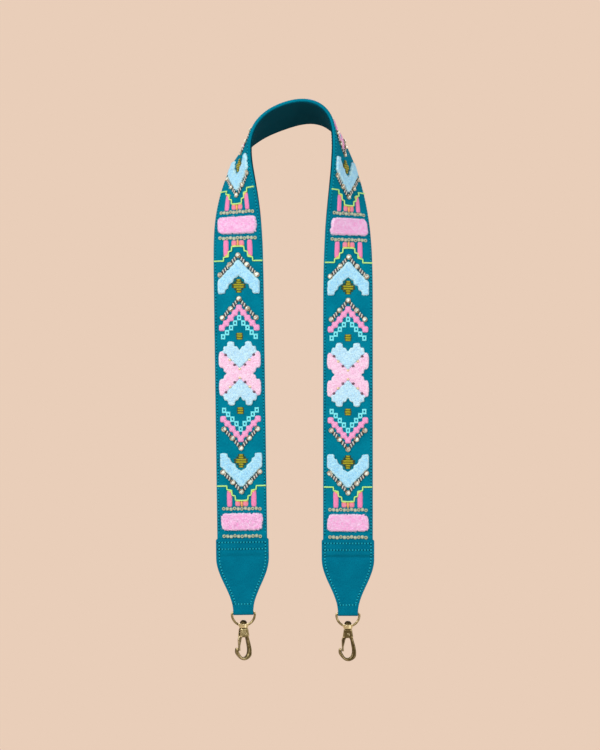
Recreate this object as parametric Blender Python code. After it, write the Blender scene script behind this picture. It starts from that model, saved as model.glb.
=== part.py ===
"""Detachable embroidered bag strap, hung over a peg.

Metres, +Z up, X across the two legs, the embroidered side of the legs facing -Y.
The origin is on the underside of the band, where it runs level at the top of the arch.
The band and all that is sewn to it are cut flat and then hung along a bent and twisted path.
"""
from bisect import bisect_right
from math import atan2, cos, pi, radians, sin

import bmesh
import bpy
import numpy as np
from mathutils import Matrix, Vector

# Driving sizes of the band
band_width = 0.050
band_tail = 0.014
face_thickness = 0.0007
core_thickness = 0.0012
backing_thickness = 0.0007
hem_width = 0.010
backing_inset = 0.0008
edge_chamfer = 0.0007
gap = 0.0003

# Driving sizes of the arch: places along the band from its middle, and how far each turn reaches
left_shoulder_place = -0.053
left_shoulder_reach = 0.058
right_shoulder_place = 0.025
right_shoulder_reach = 0.045
arch_place = -0.003
arch_reach = 0.234
left_twist_place = -0.105
left_twist_reach = 0.129
right_twist_place = 0.104
right_twist_reach = 0.179
left_shoulder_share = 0.23
right_shoulder_share = 0.39
leg_lean = radians(0.8)
bend_start = radians(193)
left_twist_start = radians(-102)
right_twist_start = radians(103)
walk_step = 0.001

# Driving sizes of the facets
facet_columns = 4
longest_facet = 0.045
largest_bend_step = radians(10)
largest_twist_step = radians(5)
sharp_angle = radians(40)

# Driving sizes of the embroidery
motif_width = 0.042
block_length = 0.064
block_height = 0.0022
pink_chevron_clearance = 0.0106
pink_chevron_length = 0.0260
pink_chevron_height = 0.0016
blue_chevron_clearance = 0.0107
blue_chevron_length = 0.0342
blue_chevron_height = 0.0022
column_clearance = 0.0030
column_length = 0.0170
column_width = 0.0052
tall_column_place = 0.0124
short_column_place = 0.0040
short_column_length = 0.0062
chain_width = 0.0028
chain_length = 0.0400
column_height = 0.0014
bar_clearance = 0.0030
bar_length = 0.0174
bar_height = 0.0026
bar_corner = 0.0024
end_chain_clearance = 0.0034
end_chain_bead = 0.0046
bead_row_height = 0.0012
stone_size = 0.0046
stone_height = 0.0026
bead_waist_share = 0.67
bar_bevel_share = 0.3
stone_table_share = 0.5
bar_count = 4
pad_shoulder = 0.0009
pad_wall_share = 0.55
weld_distance = 0.00004
cut_tolerance = 0.00006

# Driving sizes of the end tabs
tab_width = 0.0526
tab_neck_width = 0.0200
tab_length = 0.0765
tab_leaf = 0.0012
tab_shoulder = 0.0185
tab_neck_length = 0.0030
tab_taper_length = 0.0100
tab_corner = 0.0012
stiffener_margin = 0.0030
stiffener_clearance = 0.0020

# Driving sizes of the ring and its swivel
wire = 0.0024
ring_drop = 0.0131
ring_corner = 0.0017
boss_width = 0.0094
boss_height = 0.0038
bore_clearance = 0.0003
shank_width = 0.0030
head_width = 0.0074
head_height = 0.0036
shank_depth = 0.0020

# Driving sizes of the hook, from the swivel's axis and the top of the neck
hook_half_width = 0.0091
hook_length = 0.0327
hook_thickness = 0.0044
hook_chamfer = 0.0009
block_top_width = 0.0082
block_width = 0.0105
block_thickness = 0.0064
block_length_down = 0.0092
block_chamfer = 0.0009
pin_place_across = 0.0006
pin_place_down = 0.0049
pin_width = 0.0014
knuckle_width = 0.0040
gate_thickness = 0.0022
gate_chamfer = 0.0004
corner_cut_share = 0.25
slot_side = 0.0032
spring_thickness = 0.0003
spring_width = 0.0016
left_hook_turn = radians(28)
right_hook_turn = 0.0
cut_overrun = 0.0020
round_sides = 20
small_round_sides = 12
stone_sides = 6

# Places along the band: the motifs from the middle of their block, then the whole repeat and the band
pink_chevron_place = block_length / 2 + pink_chevron_clearance
blue_chevron_place = pink_chevron_place + pink_chevron_length + blue_chevron_clearance
column_place = blue_chevron_place + blue_chevron_length + column_clearance
bar_place = column_place + column_length + chain_width + bar_clearance + bar_length / 2
repeat_length = bar_place * 2
end_chain_place = bar_length / 2 + end_chain_clearance + end_chain_bead / 2
band_length = (bar_count - 1) * repeat_length + (end_chain_place + end_chain_bead / 2 + gap) * 2

# Levels through the thickness of the band, from its middle
band_thickness = face_thickness * 2 + core_thickness + backing_thickness + gap * 3
half_thickness = band_thickness / 2
half_width = band_width / 2
face_inner = half_thickness - face_thickness
core_top = face_inner - gap
core_bottom = core_top - core_thickness
hem_top = core_bottom - gap
hem_bottom = hem_top - face_thickness
backing_top = hem_bottom - gap
pad_level = half_thickness + gap
half_length = band_length / 2
band_end = half_length + band_tail

# Fresh scene
for old in list(bpy.data.objects):
    bpy.data.objects.remove(old, do_unlink=True)


def new_collection(name):
    collection = bpy.data.collections.new(name)
    bpy.context.scene.collection.children.link(collection)
    return collection


strap_collection = new_collection("bag_strap")
cutter_collection = new_collection("strap_cutters")


def new_material(name, colour, roughness, metallic):
    material = bpy.data.materials.new(name)
    material.use_nodes = True
    shader = material.node_tree.nodes["Principled BSDF"]
    shader.inputs["Base Color"].default_value = (*colour, 1.0)
    shader.inputs["Roughness"].default_value = roughness
    shader.inputs["Metallic"].default_value = metallic
    material.diffuse_color = (*colour, 1.0)
    return material


teal_cloth = new_material("teal_cloth", (0.003, 0.165, 0.26), 0.85, 0.0)
dark_cloth = new_material("dark_teal_cloth", (0.002, 0.035, 0.055), 0.9, 0.0)
felt = new_material("grey_felt", (0.25, 0.25, 0.24), 0.95, 0.0)
board = new_material("fibre_board", (0.20, 0.14, 0.09), 0.9, 0.0)
pink_yarn = new_material("pink_yarn", (0.96, 0.49, 0.76), 0.95, 0.0)
pale_pink_yarn = new_material("pale_pink_yarn", (0.97, 0.66, 0.80), 0.95, 0.0)
hot_pink_yarn = new_material("hot_pink_yarn", (0.85, 0.25, 0.47), 0.95, 0.0)
blue_yarn = new_material("pale_blue_yarn", (0.46, 0.78, 0.95), 0.95, 0.0)
gold_beads = new_material("gold_beads", (0.48, 0.40, 0.28), 0.4, 0.3)
antique_brass = new_material("antique_brass", (0.22, 0.15, 0.06), 0.35, 1.0)
bright_brass = new_material("bright_brass", (0.60, 0.47, 0.22), 0.25, 1.0)
spring_steel = new_material("spring_steel", (0.50, 0.50, 0.50), 0.3, 1.0)


def add_object(name, mesh, material, parent=None):
    """Puts a mesh in the strap's collection as a smooth-shaded object."""
    mesh.materials.clear()
    mesh.materials.append(material)
    mesh.shade_smooth()
    mesh.set_sharp_from_angle(angle=sharp_angle)
    item = bpy.data.objects.new(name, mesh)
    item.parent = parent
    strap_collection.objects.link(item)
    return item


def add_frame(name, matrix, parent=None):
    """Adds an empty that carries the pieces of one joint or one end."""
    frame = bpy.data.objects.new(name, None)
    frame.parent = parent
    frame.matrix_basis = matrix
    strap_collection.objects.link(frame)
    return frame


def flat_faces(bm, side):
    """The faces of a plate's top, or of its underside with side -1."""
    level = max(corner.co.z * side for corner in bm.verts) - weld_distance
    return [face for face in bm.faces if all(corner.co.z * side > level for corner in face.verts)]


def plate(points, thickness):
    """Returns a bmesh of a flat outline in X and Y, thickened to both sides of Z."""
    curve = bpy.data.curves.new("outline", "CURVE")
    curve.dimensions = "2D"
    curve.fill_mode = "BOTH"
    curve.extrude = thickness / 2
    spline = curve.splines.new("POLY")
    spline.points.add(len(points) - 1)
    for point, (across, along) in zip(spline.points, points):
        point.co = (across, along, 0, 1)
    spline.use_cyclic_u = True
    holder = bpy.data.objects.new("outline", curve)
    cutter_collection.objects.link(holder)
    graph = bpy.context.evaluated_depsgraph_get()
    mesh = bpy.data.meshes.new_from_object(holder.evaluated_get(graph))
    bm = bmesh.new()
    bm.from_mesh(mesh)
    bpy.data.objects.remove(holder, do_unlink=True)
    bpy.data.curves.remove(curve)
    bpy.data.meshes.remove(mesh)
    bmesh.ops.remove_doubles(bm, verts=bm.verts, dist=weld_distance)
    bmesh.ops.dissolve_limit(bm, angle_limit=radians(1), verts=bm.verts, edges=bm.edges)
    bmesh.ops.recalc_face_normals(bm, faces=bm.faces)
    for side in (1, -1):
        bmesh.ops.dissolve_faces(bm, faces=flat_faces(bm, side))
    return bm


def mirrored(half_points):
    """Closes a half outline, listed from top to bottom at +X, with its mirror image."""
    other = [(-across, along) for across, along in reversed(half_points) if across > 0]
    return list(half_points) + other


def raise_top(bm, rise, slope, side=1):
    """Raises the top of a plate, or its underside with side -1, and slopes its edge."""
    flat = flat_faces(bm, side)
    bmesh.ops.inset_region(bm, faces=flat, thickness=slope, depth=rise, use_even_offset=True)


def to_mesh(bm, name):
    mesh = bpy.data.meshes.new(name)
    bm.to_mesh(mesh)
    bm.free()
    return mesh


def carve(name, body, steps):
    """Joins, cuts or trims a body with each bmesh in turn and returns the finished mesh."""
    item = bpy.data.objects.new(name, to_mesh(body, name))
    cutter_collection.objects.link(item)
    tools = []
    for operation, tool_bm in steps:
        tool = bpy.data.objects.new(name + "_cutter", to_mesh(tool_bm, name + "_cutter"))
        tool.hide_render = True
        tool.display_type = "WIRE"
        cutter_collection.objects.link(tool)
        modifier = item.modifiers.new(operation, "BOOLEAN")
        modifier.operation = operation
        modifier.solver = "EXACT"
        modifier.object = tool
        tools.append(tool)
    graph = bpy.context.evaluated_depsgraph_get()
    mesh = bpy.data.meshes.new_from_object(item.evaluated_get(graph))
    mesh.name = name
    for used in (item, *tools):
        bpy.data.objects.remove(used, do_unlink=True)
    return mesh


# The path of the band


def hump(place, reach, s):
    """A smooth rise and fall of height one over the stretch that a turn reaches."""
    offset = (s - place) / reach
    return (1 + cos(pi * offset)) / 2 if abs(offset) < 1 else 0.0


def turn_rates(s, angles):
    """Bend about the band's width and twist about its length, per metre, at place s."""
    bend, left_twist, right_twist = angles
    arch_share = 1 - left_shoulder_share - right_shoulder_share
    bend_rate = bend * (
        left_shoulder_share / left_shoulder_reach * hump(left_shoulder_place, left_shoulder_reach, s)
        + right_shoulder_share / right_shoulder_reach * hump(right_shoulder_place, right_shoulder_reach, s)
        + arch_share / arch_reach * hump(arch_place, arch_reach, s)
    )
    twist_rate = (
        left_twist / left_twist_reach * hump(left_twist_place, left_twist_reach, s)
        + right_twist / right_twist_reach * hump(right_twist_place, right_twist_reach, s)
    )
    return bend_rate, twist_rate


def walk(angles):
    """Walks along the band's middle line from its left end, with a frame of three axes at each step.

    The columns of a frame are the length, the width from the near to the far edge, and the normal
    of the embroidered face.
    """
    steps = round(2 * band_end / walk_step)
    step = 2 * band_end / steps
    length = np.array([-sin(leg_lean), 0.0, cos(leg_lean)])
    normal = np.array([0.0, -1.0, 0.0])
    frame = np.column_stack([length, np.cross(normal, length), normal])
    point = np.zeros(3)
    places, points, frames = [-band_end], [point], [frame]
    for index in range(steps):
        s = -band_end + step * index
        bend_rate, twist_rate = turn_rates(s + step / 2, angles)
        if bend_rate or twist_rate:
            half_turn = Vector((twist_rate, bend_rate, 0)) * step / 2
            turn = np.array(Matrix.Rotation(half_turn.length, 3, half_turn))
            middle = frame @ turn
            point = point + middle[:, 0] * step
            frame = middle @ turn
        else:
            point = point + frame[:, 0] * step
        places.append(s + step)
        points.append(point)
        frames.append(frame)
    return np.array(places), np.array(points), np.array(frames)


def end_error(angles):
    """How far the right leg is from plumb and from facing forward."""
    last = walk(angles)[2][-1]
    return np.array([last[0, 0], last[1, 0], last[0, 2]])


def solve_angles():
    """Newton's method for the bend and the two twists that bring the right leg plumb."""
    angles = np.array([bend_start, left_twist_start, right_twist_start])
    nudge = radians(0.01)
    for _ in range(8):
        error = end_error(angles)
        if np.abs(error).max() < nudge ** 2:
            break
        slopes = np.column_stack([(end_error(angles + nudge * axis) - error) / nudge for axis in np.eye(3)])
        angles = angles - np.linalg.solve(slopes, error)
    return angles


turn_angles = solve_angles()
walk_places, walk_points, walk_frames = walk(turn_angles)

# The origin goes to the underside of the band at the step where it stops rising
crown = int(np.argmax(walk_frames[:, 2, 0] <= 0))
walk_points = walk_points - (walk_points[crown] - walk_frames[crown][:, 2] * half_thickness)


def choose_stations():
    """Steps of the walk where the band is creased into facets, closer together where it turns faster."""
    chosen = [0]
    bend_sum = twist_sum = 0.0
    for index in range(1, len(walk_places)):
        step = walk_places[index] - walk_places[index - 1]
        bend_rate, twist_rate = turn_rates(walk_places[index] - step / 2, turn_angles)
        bend_step, twist_step = abs(bend_rate) * step, abs(twist_rate) * step
        far = walk_places[index] - walk_places[chosen[-1]] > longest_facet
        sharp = bend_sum + bend_step > largest_bend_step or twist_sum + twist_step > largest_twist_step
        if far or sharp:
            chosen.append(index - 1)
            bend_sum = twist_sum = 0.0
        bend_sum += bend_step
        twist_sum += twist_step
    return chosen + [len(walk_places) - 1]


stations = choose_stations()
station_places = [float(walk_places[index]) for index in stations]
turns_start = left_twist_place - left_twist_reach - longest_facet
turns_end = right_twist_place + right_twist_reach + longest_facet
columns = [half_width * (2 * index / facet_columns - 1) for index in range(facet_columns + 1)]


def lattice_point(station, across, height):
    """A point at one station: across runs from the far to the near edge, height off the middle."""
    index = stations[station]
    frame = walk_frames[index]
    return walk_points[index] - frame[:, 1] * across + frame[:, 2] * height


def facet_at(across, s):
    """The station and the column at the low corner of the facet that holds a place on the flat strap."""
    station = min(max(bisect_right(station_places, s) - 1, 0), len(stations) - 2)
    column = min(max(bisect_right(columns, across) - 1, 0), facet_columns - 1)
    return station, column


def hang(across, s, height):
    """Where a point of the flat strap lies once it hangs, on the facets of the band."""
    station, column = facet_at(across, s)
    first, last = station_places[station], station_places[station + 1]
    left, right = columns[column], columns[column + 1]
    t = (s - first) / (last - first)
    u = (across - left) / (right - left)
    low = lattice_point(station, left, height)
    high = lattice_point(station + 1, right, height)
    if u >= t:
        corner = lattice_point(station, right, height)
        return low + (corner - low) * u + (high - corner) * t
    corner = lattice_point(station + 1, left, height)
    return low + (corner - low) * t + (high - corner) * u


def cut_at(bm, faces, place, normal):
    """Cuts some faces of a flat piece in two where an upright plane crosses them."""
    around = {part for face in faces for part in (*face.verts, *face.edges, face)}
    bmesh.ops.bisect_plane(bm, geom=list(around), dist=cut_tolerance, plane_co=place, plane_no=normal)


def split_facets(bm):
    """Creases each four-cornered facet from its low corner to its high corner."""
    for face in list(bm.faces):
        if len(face.verts) == 4 and abs(face.normal.z) > cos(radians(1)):
            low = min(face.verts, key=lambda corner: corner.co.x + corner.co.y)
            high = max(face.verts, key=lambda corner: corner.co.x + corner.co.y)
            if all(edge.other_vert(low) != high for edge in low.link_edges):
                bmesh.utils.face_split(face, low, high)


def cut_diagonals(bm):
    """Cuts a sewn piece exactly where the cloth below it is creased from corner to corner."""
    facets = {}
    for face in bm.faces:
        middle = face.calc_center_median()
        if turns_start < middle.y < turns_end:
            facets.setdefault(facet_at(middle.x, middle.y), []).append(face)
    for (station, column), faces in facets.items():
        low = Vector((columns[column], station_places[station], 0))
        high = Vector((columns[column + 1], station_places[station + 1], 0))
        cut_at(bm, faces, low, (high - low).cross(Vector((0, 0, 1))).normalized())


def sew(name, bm, material, crease):
    """Creases a flat piece where the band is creased, hangs it, and adds it to the strap."""
    lowest = min(corner.co.y for corner in bm.verts)
    highest = max(corner.co.y for corner in bm.verts)
    for place in station_places:
        if lowest < place < highest:
            cut_at(bm, bm.faces, (0, place, 0), (0, 1, 0))
    for place in columns[1:-1]:
        turning = [face for face in bm.faces if turns_start < face.calc_center_median().y < turns_end]
        cut_at(bm, turning, (place, 0, 0), (1, 0, 0))
    crease(bm)
    bmesh.ops.remove_doubles(bm, verts=bm.verts, dist=weld_distance)
    bmesh.ops.recalc_face_normals(bm, faces=bm.faces)
    if bm.calc_volume(signed=True) < 0:
        bmesh.ops.reverse_faces(bm, faces=bm.faces)
    bmesh.ops.triangulate(bm, faces=bm.faces, ngon_method="EAR_CLIP")
    for corner in bm.verts:
        corner.co = hang(*corner.co)
    return add_object(name, to_mesh(bm, name), material)


# The three layers of the band


def layer(name, section, material):
    """A layer of the band from its section across X and Z, drawn out along the whole band."""
    bm = plate(section, 2 * band_end)
    bmesh.ops.rotate(bm, verts=bm.verts, matrix=Matrix.Rotation(radians(90), 3, "X"))
    return sew(name, bm, material, split_facets)


def slab(half, bottom, top):
    return [(-half, bottom), (half, bottom), (half, top), (-half, top)]


def face_section():
    """The face cloth: flat on top, down both edges, and turned in under the core."""
    inner_half = half_width - face_thickness
    hem_edge = half_width - hem_width
    return mirrored([
        (0, half_thickness),
        (half_width - edge_chamfer, half_thickness),
        (half_width, half_thickness - edge_chamfer),
        (half_width, hem_bottom),
        (hem_edge, hem_bottom),
        (hem_edge, hem_top),
        (inner_half, hem_top),
        (inner_half, face_inner),
        (0, face_inner),
    ])


layer("band_face", face_section(), teal_cloth)
layer("band_core", slab(half_width - face_thickness - gap, core_bottom, core_top), felt)
layer("band_backing", slab(half_width - backing_inset, -half_thickness, backing_top), dark_cloth)

# The embroidery. Each outline is a half, in shares of half the motif's width and of its length.
block_shares = (
    (0.00, 0.70), (0.10, 0.85), (0.25, 0.85), (0.25, 1.00), (0.58, 1.00), (0.58, 0.85), (0.78, 0.85),
    (0.78, 0.69), (1.00, 0.69), (1.00, 0.175), (0.77, 0.175), (0.77, 0.06), (0.61, 0.00),
)
blue_chevron_shares = (
    (0.00, 0.54), (0.24, 0.46), (0.27, 0.33), (0.48, 0.22), (0.48, 0.09), (0.70, 0.09), (0.72, 0.00),
    (1.00, 0.00), (1.00, 0.41), (0.77, 0.53), (0.49, 0.71), (0.25, 0.86), (0.07, 1.00),
)
pink_chevron_shares = (
    (0.00, 0.72), (0.73, 0.05), (0.82, 0.00), (0.94, 0.02), (0.98, 0.12), (0.94, 0.20), (0.08, 1.00),
)

# The stones of each chevron's bead row, from its middle outwards, in shares of that chevron
blue_stone_shares = ((0.00, 1.126), (0.481, 0.830), (0.914, 0.564))
pink_stone_shares = ((0.00, 1.142), (0.443, 0.823), (0.81, 0.477))


def scaled(shares, width, length):
    return [(across * width / 2, along * length) for across, along in shares]


def lay(name, bm, material, place, flip):
    """Sews a piece that is drawn flat at a place along the band, with flip -1 to turn it round."""
    if flip < 0:
        bmesh.ops.rotate(bm, verts=bm.verts, matrix=Matrix.Rotation(pi, 3, "Z"))
    bmesh.ops.translate(bm, verts=bm.verts, vec=(0, place, pad_level))
    return sew(name, bm, material, cut_diagonals)


def flat_piece(points, height):
    """A plate that stands on Z zero."""
    bm = plate(points, height)
    bmesh.ops.translate(bm, verts=bm.verts, vec=(0, 0, height / 2))
    return bm


def pad(name, points, height, material, place, flip=1, shoulder=pad_shoulder):
    """A sewn pad, with a sloping shoulder where it is tufted."""
    wall = height * pad_wall_share if shoulder else height
    bm = flat_piece(points, wall)
    if shoulder:
        raise_top(bm, height - wall, shoulder)
    return lay(name, bm, material, place, flip)


def ribbon(line, width):
    """The outline of a strip of one width along a line of points."""
    near, far = [], []
    for index, point in enumerate(line):
        before = (point - line[index - 1]).normalized() if index else None
        after = (line[index + 1] - point).normalized() if index + 1 < len(line) else None
        before, after = before or after, after or before
        along = (before + after).normalized()
        side = Vector((-along.y, along.x)) * width / 2 / along.dot(after)
        near.append(tuple(point + side))
        far.append(tuple(point - side))
    return near + far[::-1]


def stone_corners(stone, neighbours):
    """Corners round a stone, with one side of its outline square to each neighbour that it has."""
    half_side = pi / stone_sides
    turns = sorted(atan2(other.y - stone.y, other.x - stone.x) for other in neighbours)
    corners = []
    for index, turn in enumerate(turns):
        after = turns[(index + 1) % len(turns)] + (2 * pi if index + 1 == len(turns) else 0)
        free = after - turn - half_side * 2
        sides = max(1, round(free / (half_side * 2)))
        corners += [turn + half_side + free * side / sides for side in range(sides + 1)]
    return [stone + Vector((cos(turn), sin(turn))) * stone_size / 2 for turn in corners]


def bead_row(name, stone_places, place, flip):
    """A sewn row of small beads round the outside of a chevron, with cut stones standing in it."""
    half = [Vector(stone) for stone in stone_places]
    line = [Vector((-stone.x, stone.y)) for stone in half[:0:-1]] + half
    bm = bmesh.new()
    stones = []
    for index, stone in enumerate(line):
        corners = stone_corners(stone, line[max(index - 1, 0):index] + line[index + 1:index + 2])
        stones.append(bm.faces.new([bm.verts.new((*corner, 0)) for corner in corners]))
    for stone, other in zip(stones, stones[1:]):
        middle = (stone.calc_center_median() + other.calc_center_median()) / 2
        facing = [min(face.edges, key=lambda edge: sum((corner.co - middle).length for corner in edge.verts))
                  for face in (stone, other)]
        (first, second), (third, fourth) = (edge.verts for edge in facing)
        if (first.co - fourth.co).length > (first.co - third.co).length:
            third, fourth = fourth, third
        bm.faces.new((first, second, third, fourth))
    raised = bmesh.ops.extrude_face_region(bm, geom=bm.faces[:])["geom"]
    risen = [item for item in raised if isinstance(item, bmesh.types.BMVert)]
    bmesh.ops.translate(bm, verts=risen, vec=(0, 0, bead_row_height))
    bmesh.ops.recalc_face_normals(bm, faces=bm.faces)
    tables = [item for item in raised if isinstance(item, bmesh.types.BMFace) and len(item.verts) > 4]
    slope = stone_size / 2 * (1 - stone_table_share) * cos(pi / stone_sides)
    bmesh.ops.inset_individual(bm, faces=tables, thickness=slope, depth=stone_height - bead_row_height)
    return lay(name, bm, gold_beads, place, flip)


def block_outline():
    """The cross-shaped block: its quarter outline mirrored to all four."""
    upper = scaled(block_shares, motif_width, block_length / 2)
    lower = [(across, -along) for across, along in reversed(upper) if along > 0]
    return mirrored(upper + lower)


def bar_outline():
    """A bar across the band with cut corners."""
    half_across, half_along = motif_width / 2, bar_length / 2
    cut = bar_corner * bar_bevel_share
    return mirrored([
        (0, half_along), (half_across - bar_corner, half_along), (half_across - cut, half_along - cut),
        (half_across, half_along - bar_corner), (half_across, bar_corner - half_along),
        (half_across - cut, cut - half_along), (half_across - bar_corner, -half_along), (0, -half_along),
    ])


def comb_outline():
    """Two tall and two short columns standing on a chain row, as one outline from the columns' tops."""
    half_column = column_width / 2
    tall_in, tall_out = tall_column_place - half_column, tall_column_place + half_column
    short_in, short_out = short_column_place - half_column, short_column_place + half_column
    short_top = column_length - short_column_length
    return mirrored([
        (0, column_length), (short_in, column_length), (short_in, short_top), (short_out, short_top),
        (short_out, column_length), (tall_in, column_length), (tall_in, 0), (tall_out, 0),
        (tall_out, column_length), (chain_length / 2, column_length),
        (chain_length / 2, column_length + chain_width), (0, column_length + chain_width),
    ])


def chain_outline():
    """A row of flat beads, drawn as one strip with a waist between each bead and the next."""
    beads = round(chain_length / end_chain_bead)
    half_pitch = chain_length / beads / 2
    half_bead, half_waist = end_chain_bead / 2, end_chain_bead / 2 * bead_waist_share
    top = []
    for index in range(2 * beads + 1):
        top.append((half_pitch * index - chain_length / 2, half_bead if index % 2 else half_waist))
    return top + [(across, -along) for across, along in reversed(top)]


def add_repeat(number, centre):
    """One repeat of the pattern: the block, and on each side of it two chevrons and the columns."""
    pad(f"x_motif_{number}", block_outline(), block_height, pale_pink_yarn, centre)
    for side, flip in (("lower", -1), ("upper", 1)):
        blue = scaled(blue_chevron_shares, motif_width, blue_chevron_length)
        pink = scaled(pink_chevron_shares, motif_width, pink_chevron_length)
        pad(f"blue_chevron_{number}_{side}", mirrored(blue), blue_chevron_height, blue_yarn,
            centre + flip * blue_chevron_place, flip)
        pad(f"pink_chevron_{number}_{side}", mirrored(pink), pink_chevron_height, hot_pink_yarn,
            centre + flip * pink_chevron_place, flip)
        bead_row(f"blue_bead_row_{number}_{side}",
                 scaled(blue_stone_shares, motif_width, blue_chevron_length),
                 centre + flip * blue_chevron_place, flip)
        bead_row(f"pink_bead_row_{number}_{side}",
                 scaled(pink_stone_shares, motif_width, pink_chevron_length),
                 centre + flip * pink_chevron_place, flip)
        pad(f"column_group_{number}_{side}", comb_outline(), column_height, hot_pink_yarn,
            centre + flip * column_place, flip, 0)


for number, repeat in enumerate((-1, 0, 1), start=1):
    add_repeat(number, repeat * repeat_length)
for number in range(bar_count):
    place = (number - (bar_count - 1) / 2) * repeat_length
    pad(f"pink_bar_{number + 1}", bar_outline(), bar_height, pink_yarn, place)
for side, sign in (("left", -1), ("right", 1)):
    place = sign * ((bar_count - 1) / 2 * repeat_length + end_chain_place)
    pad(f"end_chain_{side}", chain_outline(), column_height, gold_beads, place, 1, 0)

# The ends. Each end's frame sits on the bar of its ring: X along the bar, Y to the back, Z up the leg.
fold_inner = wire / 2 + gap
fold_outer = fold_inner + tab_leaf
tab_top = tab_length - fold_outer
tab_spread = half_thickness + gap
band_end_level = tab_top - band_tail
taper_end = tab_neck_length - fold_outer
taper_start = tab_top - tab_shoulder
ring_side = tab_neck_width / 2 + gap + wire / 2
boss_top = boss_height / 2 - ring_drop
boss_bottom = -boss_height / 2 - ring_drop
neck_level = boss_bottom - gap
bore_width = shank_width + bore_clearance * 2
pin_bore_width = pin_width + bore_clearance * 2
arc_steps = 6
taper_steps = 11
bow_steps = 18
corner_steps = 3
dome_steps = 5


def arc(centre, radius, start, end, steps):
    """Points of an arc, with both of its ends."""
    turns = [start + (end - start) * index / steps for index in range(steps + 1)]
    return [(centre[0] + radius * cos(turn), centre[1] + radius * sin(turn)) for turn in turns]


def stand_up(bm):
    """Turns a plate drawn in X and Y to stand in X and Z."""
    bmesh.ops.rotate(bm, verts=bm.verts, matrix=Matrix.Rotation(radians(90), 3, "X"))


def block_of(low, high):
    """A box between two corners."""
    low, high = Vector(low), Vector(high)
    bm = bmesh.new()
    bmesh.ops.create_cube(bm, size=1)
    bmesh.ops.scale(bm, verts=bm.verts, vec=high - low)
    bmesh.ops.translate(bm, verts=bm.verts, vec=(low + high) / 2)
    return bm


def rod(width, bottom, top, sides=round_sides):
    """An upright cylinder between two levels."""
    bm = bmesh.new()
    bmesh.ops.create_cone(
        bm, cap_ends=True, segments=sides, radius1=width / 2, radius2=width / 2, depth=top - bottom,
    )
    bmesh.ops.translate(bm, verts=bm.verts, vec=(0, 0, (bottom + top) / 2))
    return bm


def cross_rod(width, length, across=0, level=0):
    """A cylinder that lies along Y, centred on the hook's middle plane."""
    bm = rod(width, -length / 2, length / 2, small_round_sides)
    bmesh.ops.rotate(bm, verts=bm.verts, matrix=Matrix.Rotation(radians(90), 3, "X"))
    bmesh.ops.translate(bm, verts=bm.verts, vec=(across, 0, level))
    return bm


def chamfered_plate(points, thickness, chamfer):
    """A standing plate with both of its faces chamfered all round."""
    bm = plate(points, thickness - chamfer * 2)
    raise_top(bm, chamfer, chamfer)
    raise_top(bm, chamfer, chamfer, -1)
    stand_up(bm)
    return bm


# The tab and the board inside it


def tab_half_width(level):
    """Half the tab's width at a level above the bar: wide, an S-shaped taper, then the neck."""
    run = min(max((taper_start - level) / (taper_start - taper_end), 0), 1)
    return tab_neck_width / 2 + (tab_width - tab_neck_width) / 2 * (1 + cos(pi * run)) / 2


def tab_side(bottom, top, margin):
    """One side of the tab's outline in X and Z, from a top level to a bottom one, drawn in by a margin."""
    taper_step = (taper_end - taper_start) / taper_steps
    taper = [taper_start + taper_step * index for index in range(taper_steps + 1)]
    levels = [top] + [level for level in taper if bottom < level < top] + [bottom]
    return [(tab_half_width(level) - margin, level) for level in levels]


def leaf_side(outset):
    """One leaf of the folded tab, seen along the bar: up from the fold and out over the band's end."""
    pocket = band_end_level - gap
    return [(fold_inner + outset, pocket - tab_taper_length), (tab_spread + outset, pocket),
            (tab_spread + outset, tab_top)]


def tab_profile():
    """The fold of the tab in Y and Z: a hairpin round the ring's bar."""
    outer, inner = leaf_side(tab_leaf), leaf_side(0)
    left_outer = [(-across, level) for across, level in reversed(outer)]
    left_inner = [(-across, level) for across, level in inner]
    outer_fold = arc((0, 0), fold_outer, pi, 2 * pi, arc_steps * 2)
    inner_fold = arc((0, 0), fold_inner, 2 * pi, pi, arc_steps * 2)
    return left_outer + outer_fold + outer + inner[::-1] + inner_fold + left_inner


def make_tab():
    """The hairpin drawn across the full width, trimmed to the tab's outline."""
    folded = plate(tab_profile(), tab_width + cut_overrun * 2)
    turn = Matrix.Rotation(radians(90), 3, "Z") @ Matrix.Rotation(radians(90), 3, "X")
    bmesh.ops.rotate(folded, verts=folded.verts, matrix=turn)
    half_top = tab_width / 2 - tab_corner
    top = [(half_top, tab_top + cut_overrun), (half_top, tab_top)]
    side = tab_side(-fold_outer - cut_overrun, tab_top - tab_corner, 0)
    trim = plate(mirrored(top + side), (tab_spread + tab_leaf + cut_overrun) * 2)
    stand_up(trim)
    return carve("tab", folded, [("INTERSECT", trim)])


def make_stiffener():
    """A flat board between the leaves, from just above the bar to below the band's end."""
    bottom = fold_inner + stiffener_clearance
    top = band_end_level - gap - tab_taper_length
    bm = plate(mirrored(tab_side(bottom, top, stiffener_margin)), (fold_inner - gap) * 2)
    stand_up(bm)
    return to_mesh(bm, "tab_stiffener")


# The ring, and the stud that the hook turns on


def ring_points():
    """The wire's middle line: the bar, a corner, half an ellipse down to the boss, and a corner."""
    bow = [(across * ring_side, along * (ring_drop - ring_corner) - ring_corner)
           for across, along in arc((0, 0), 1, 0, -pi, bow_steps)]
    right = arc((ring_side - ring_corner, -ring_corner), ring_corner, pi / 2, 0, corner_steps)
    left = [(-across, along) for across, along in reversed(right)]
    return right[:-1] + bow + left[1:]


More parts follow.
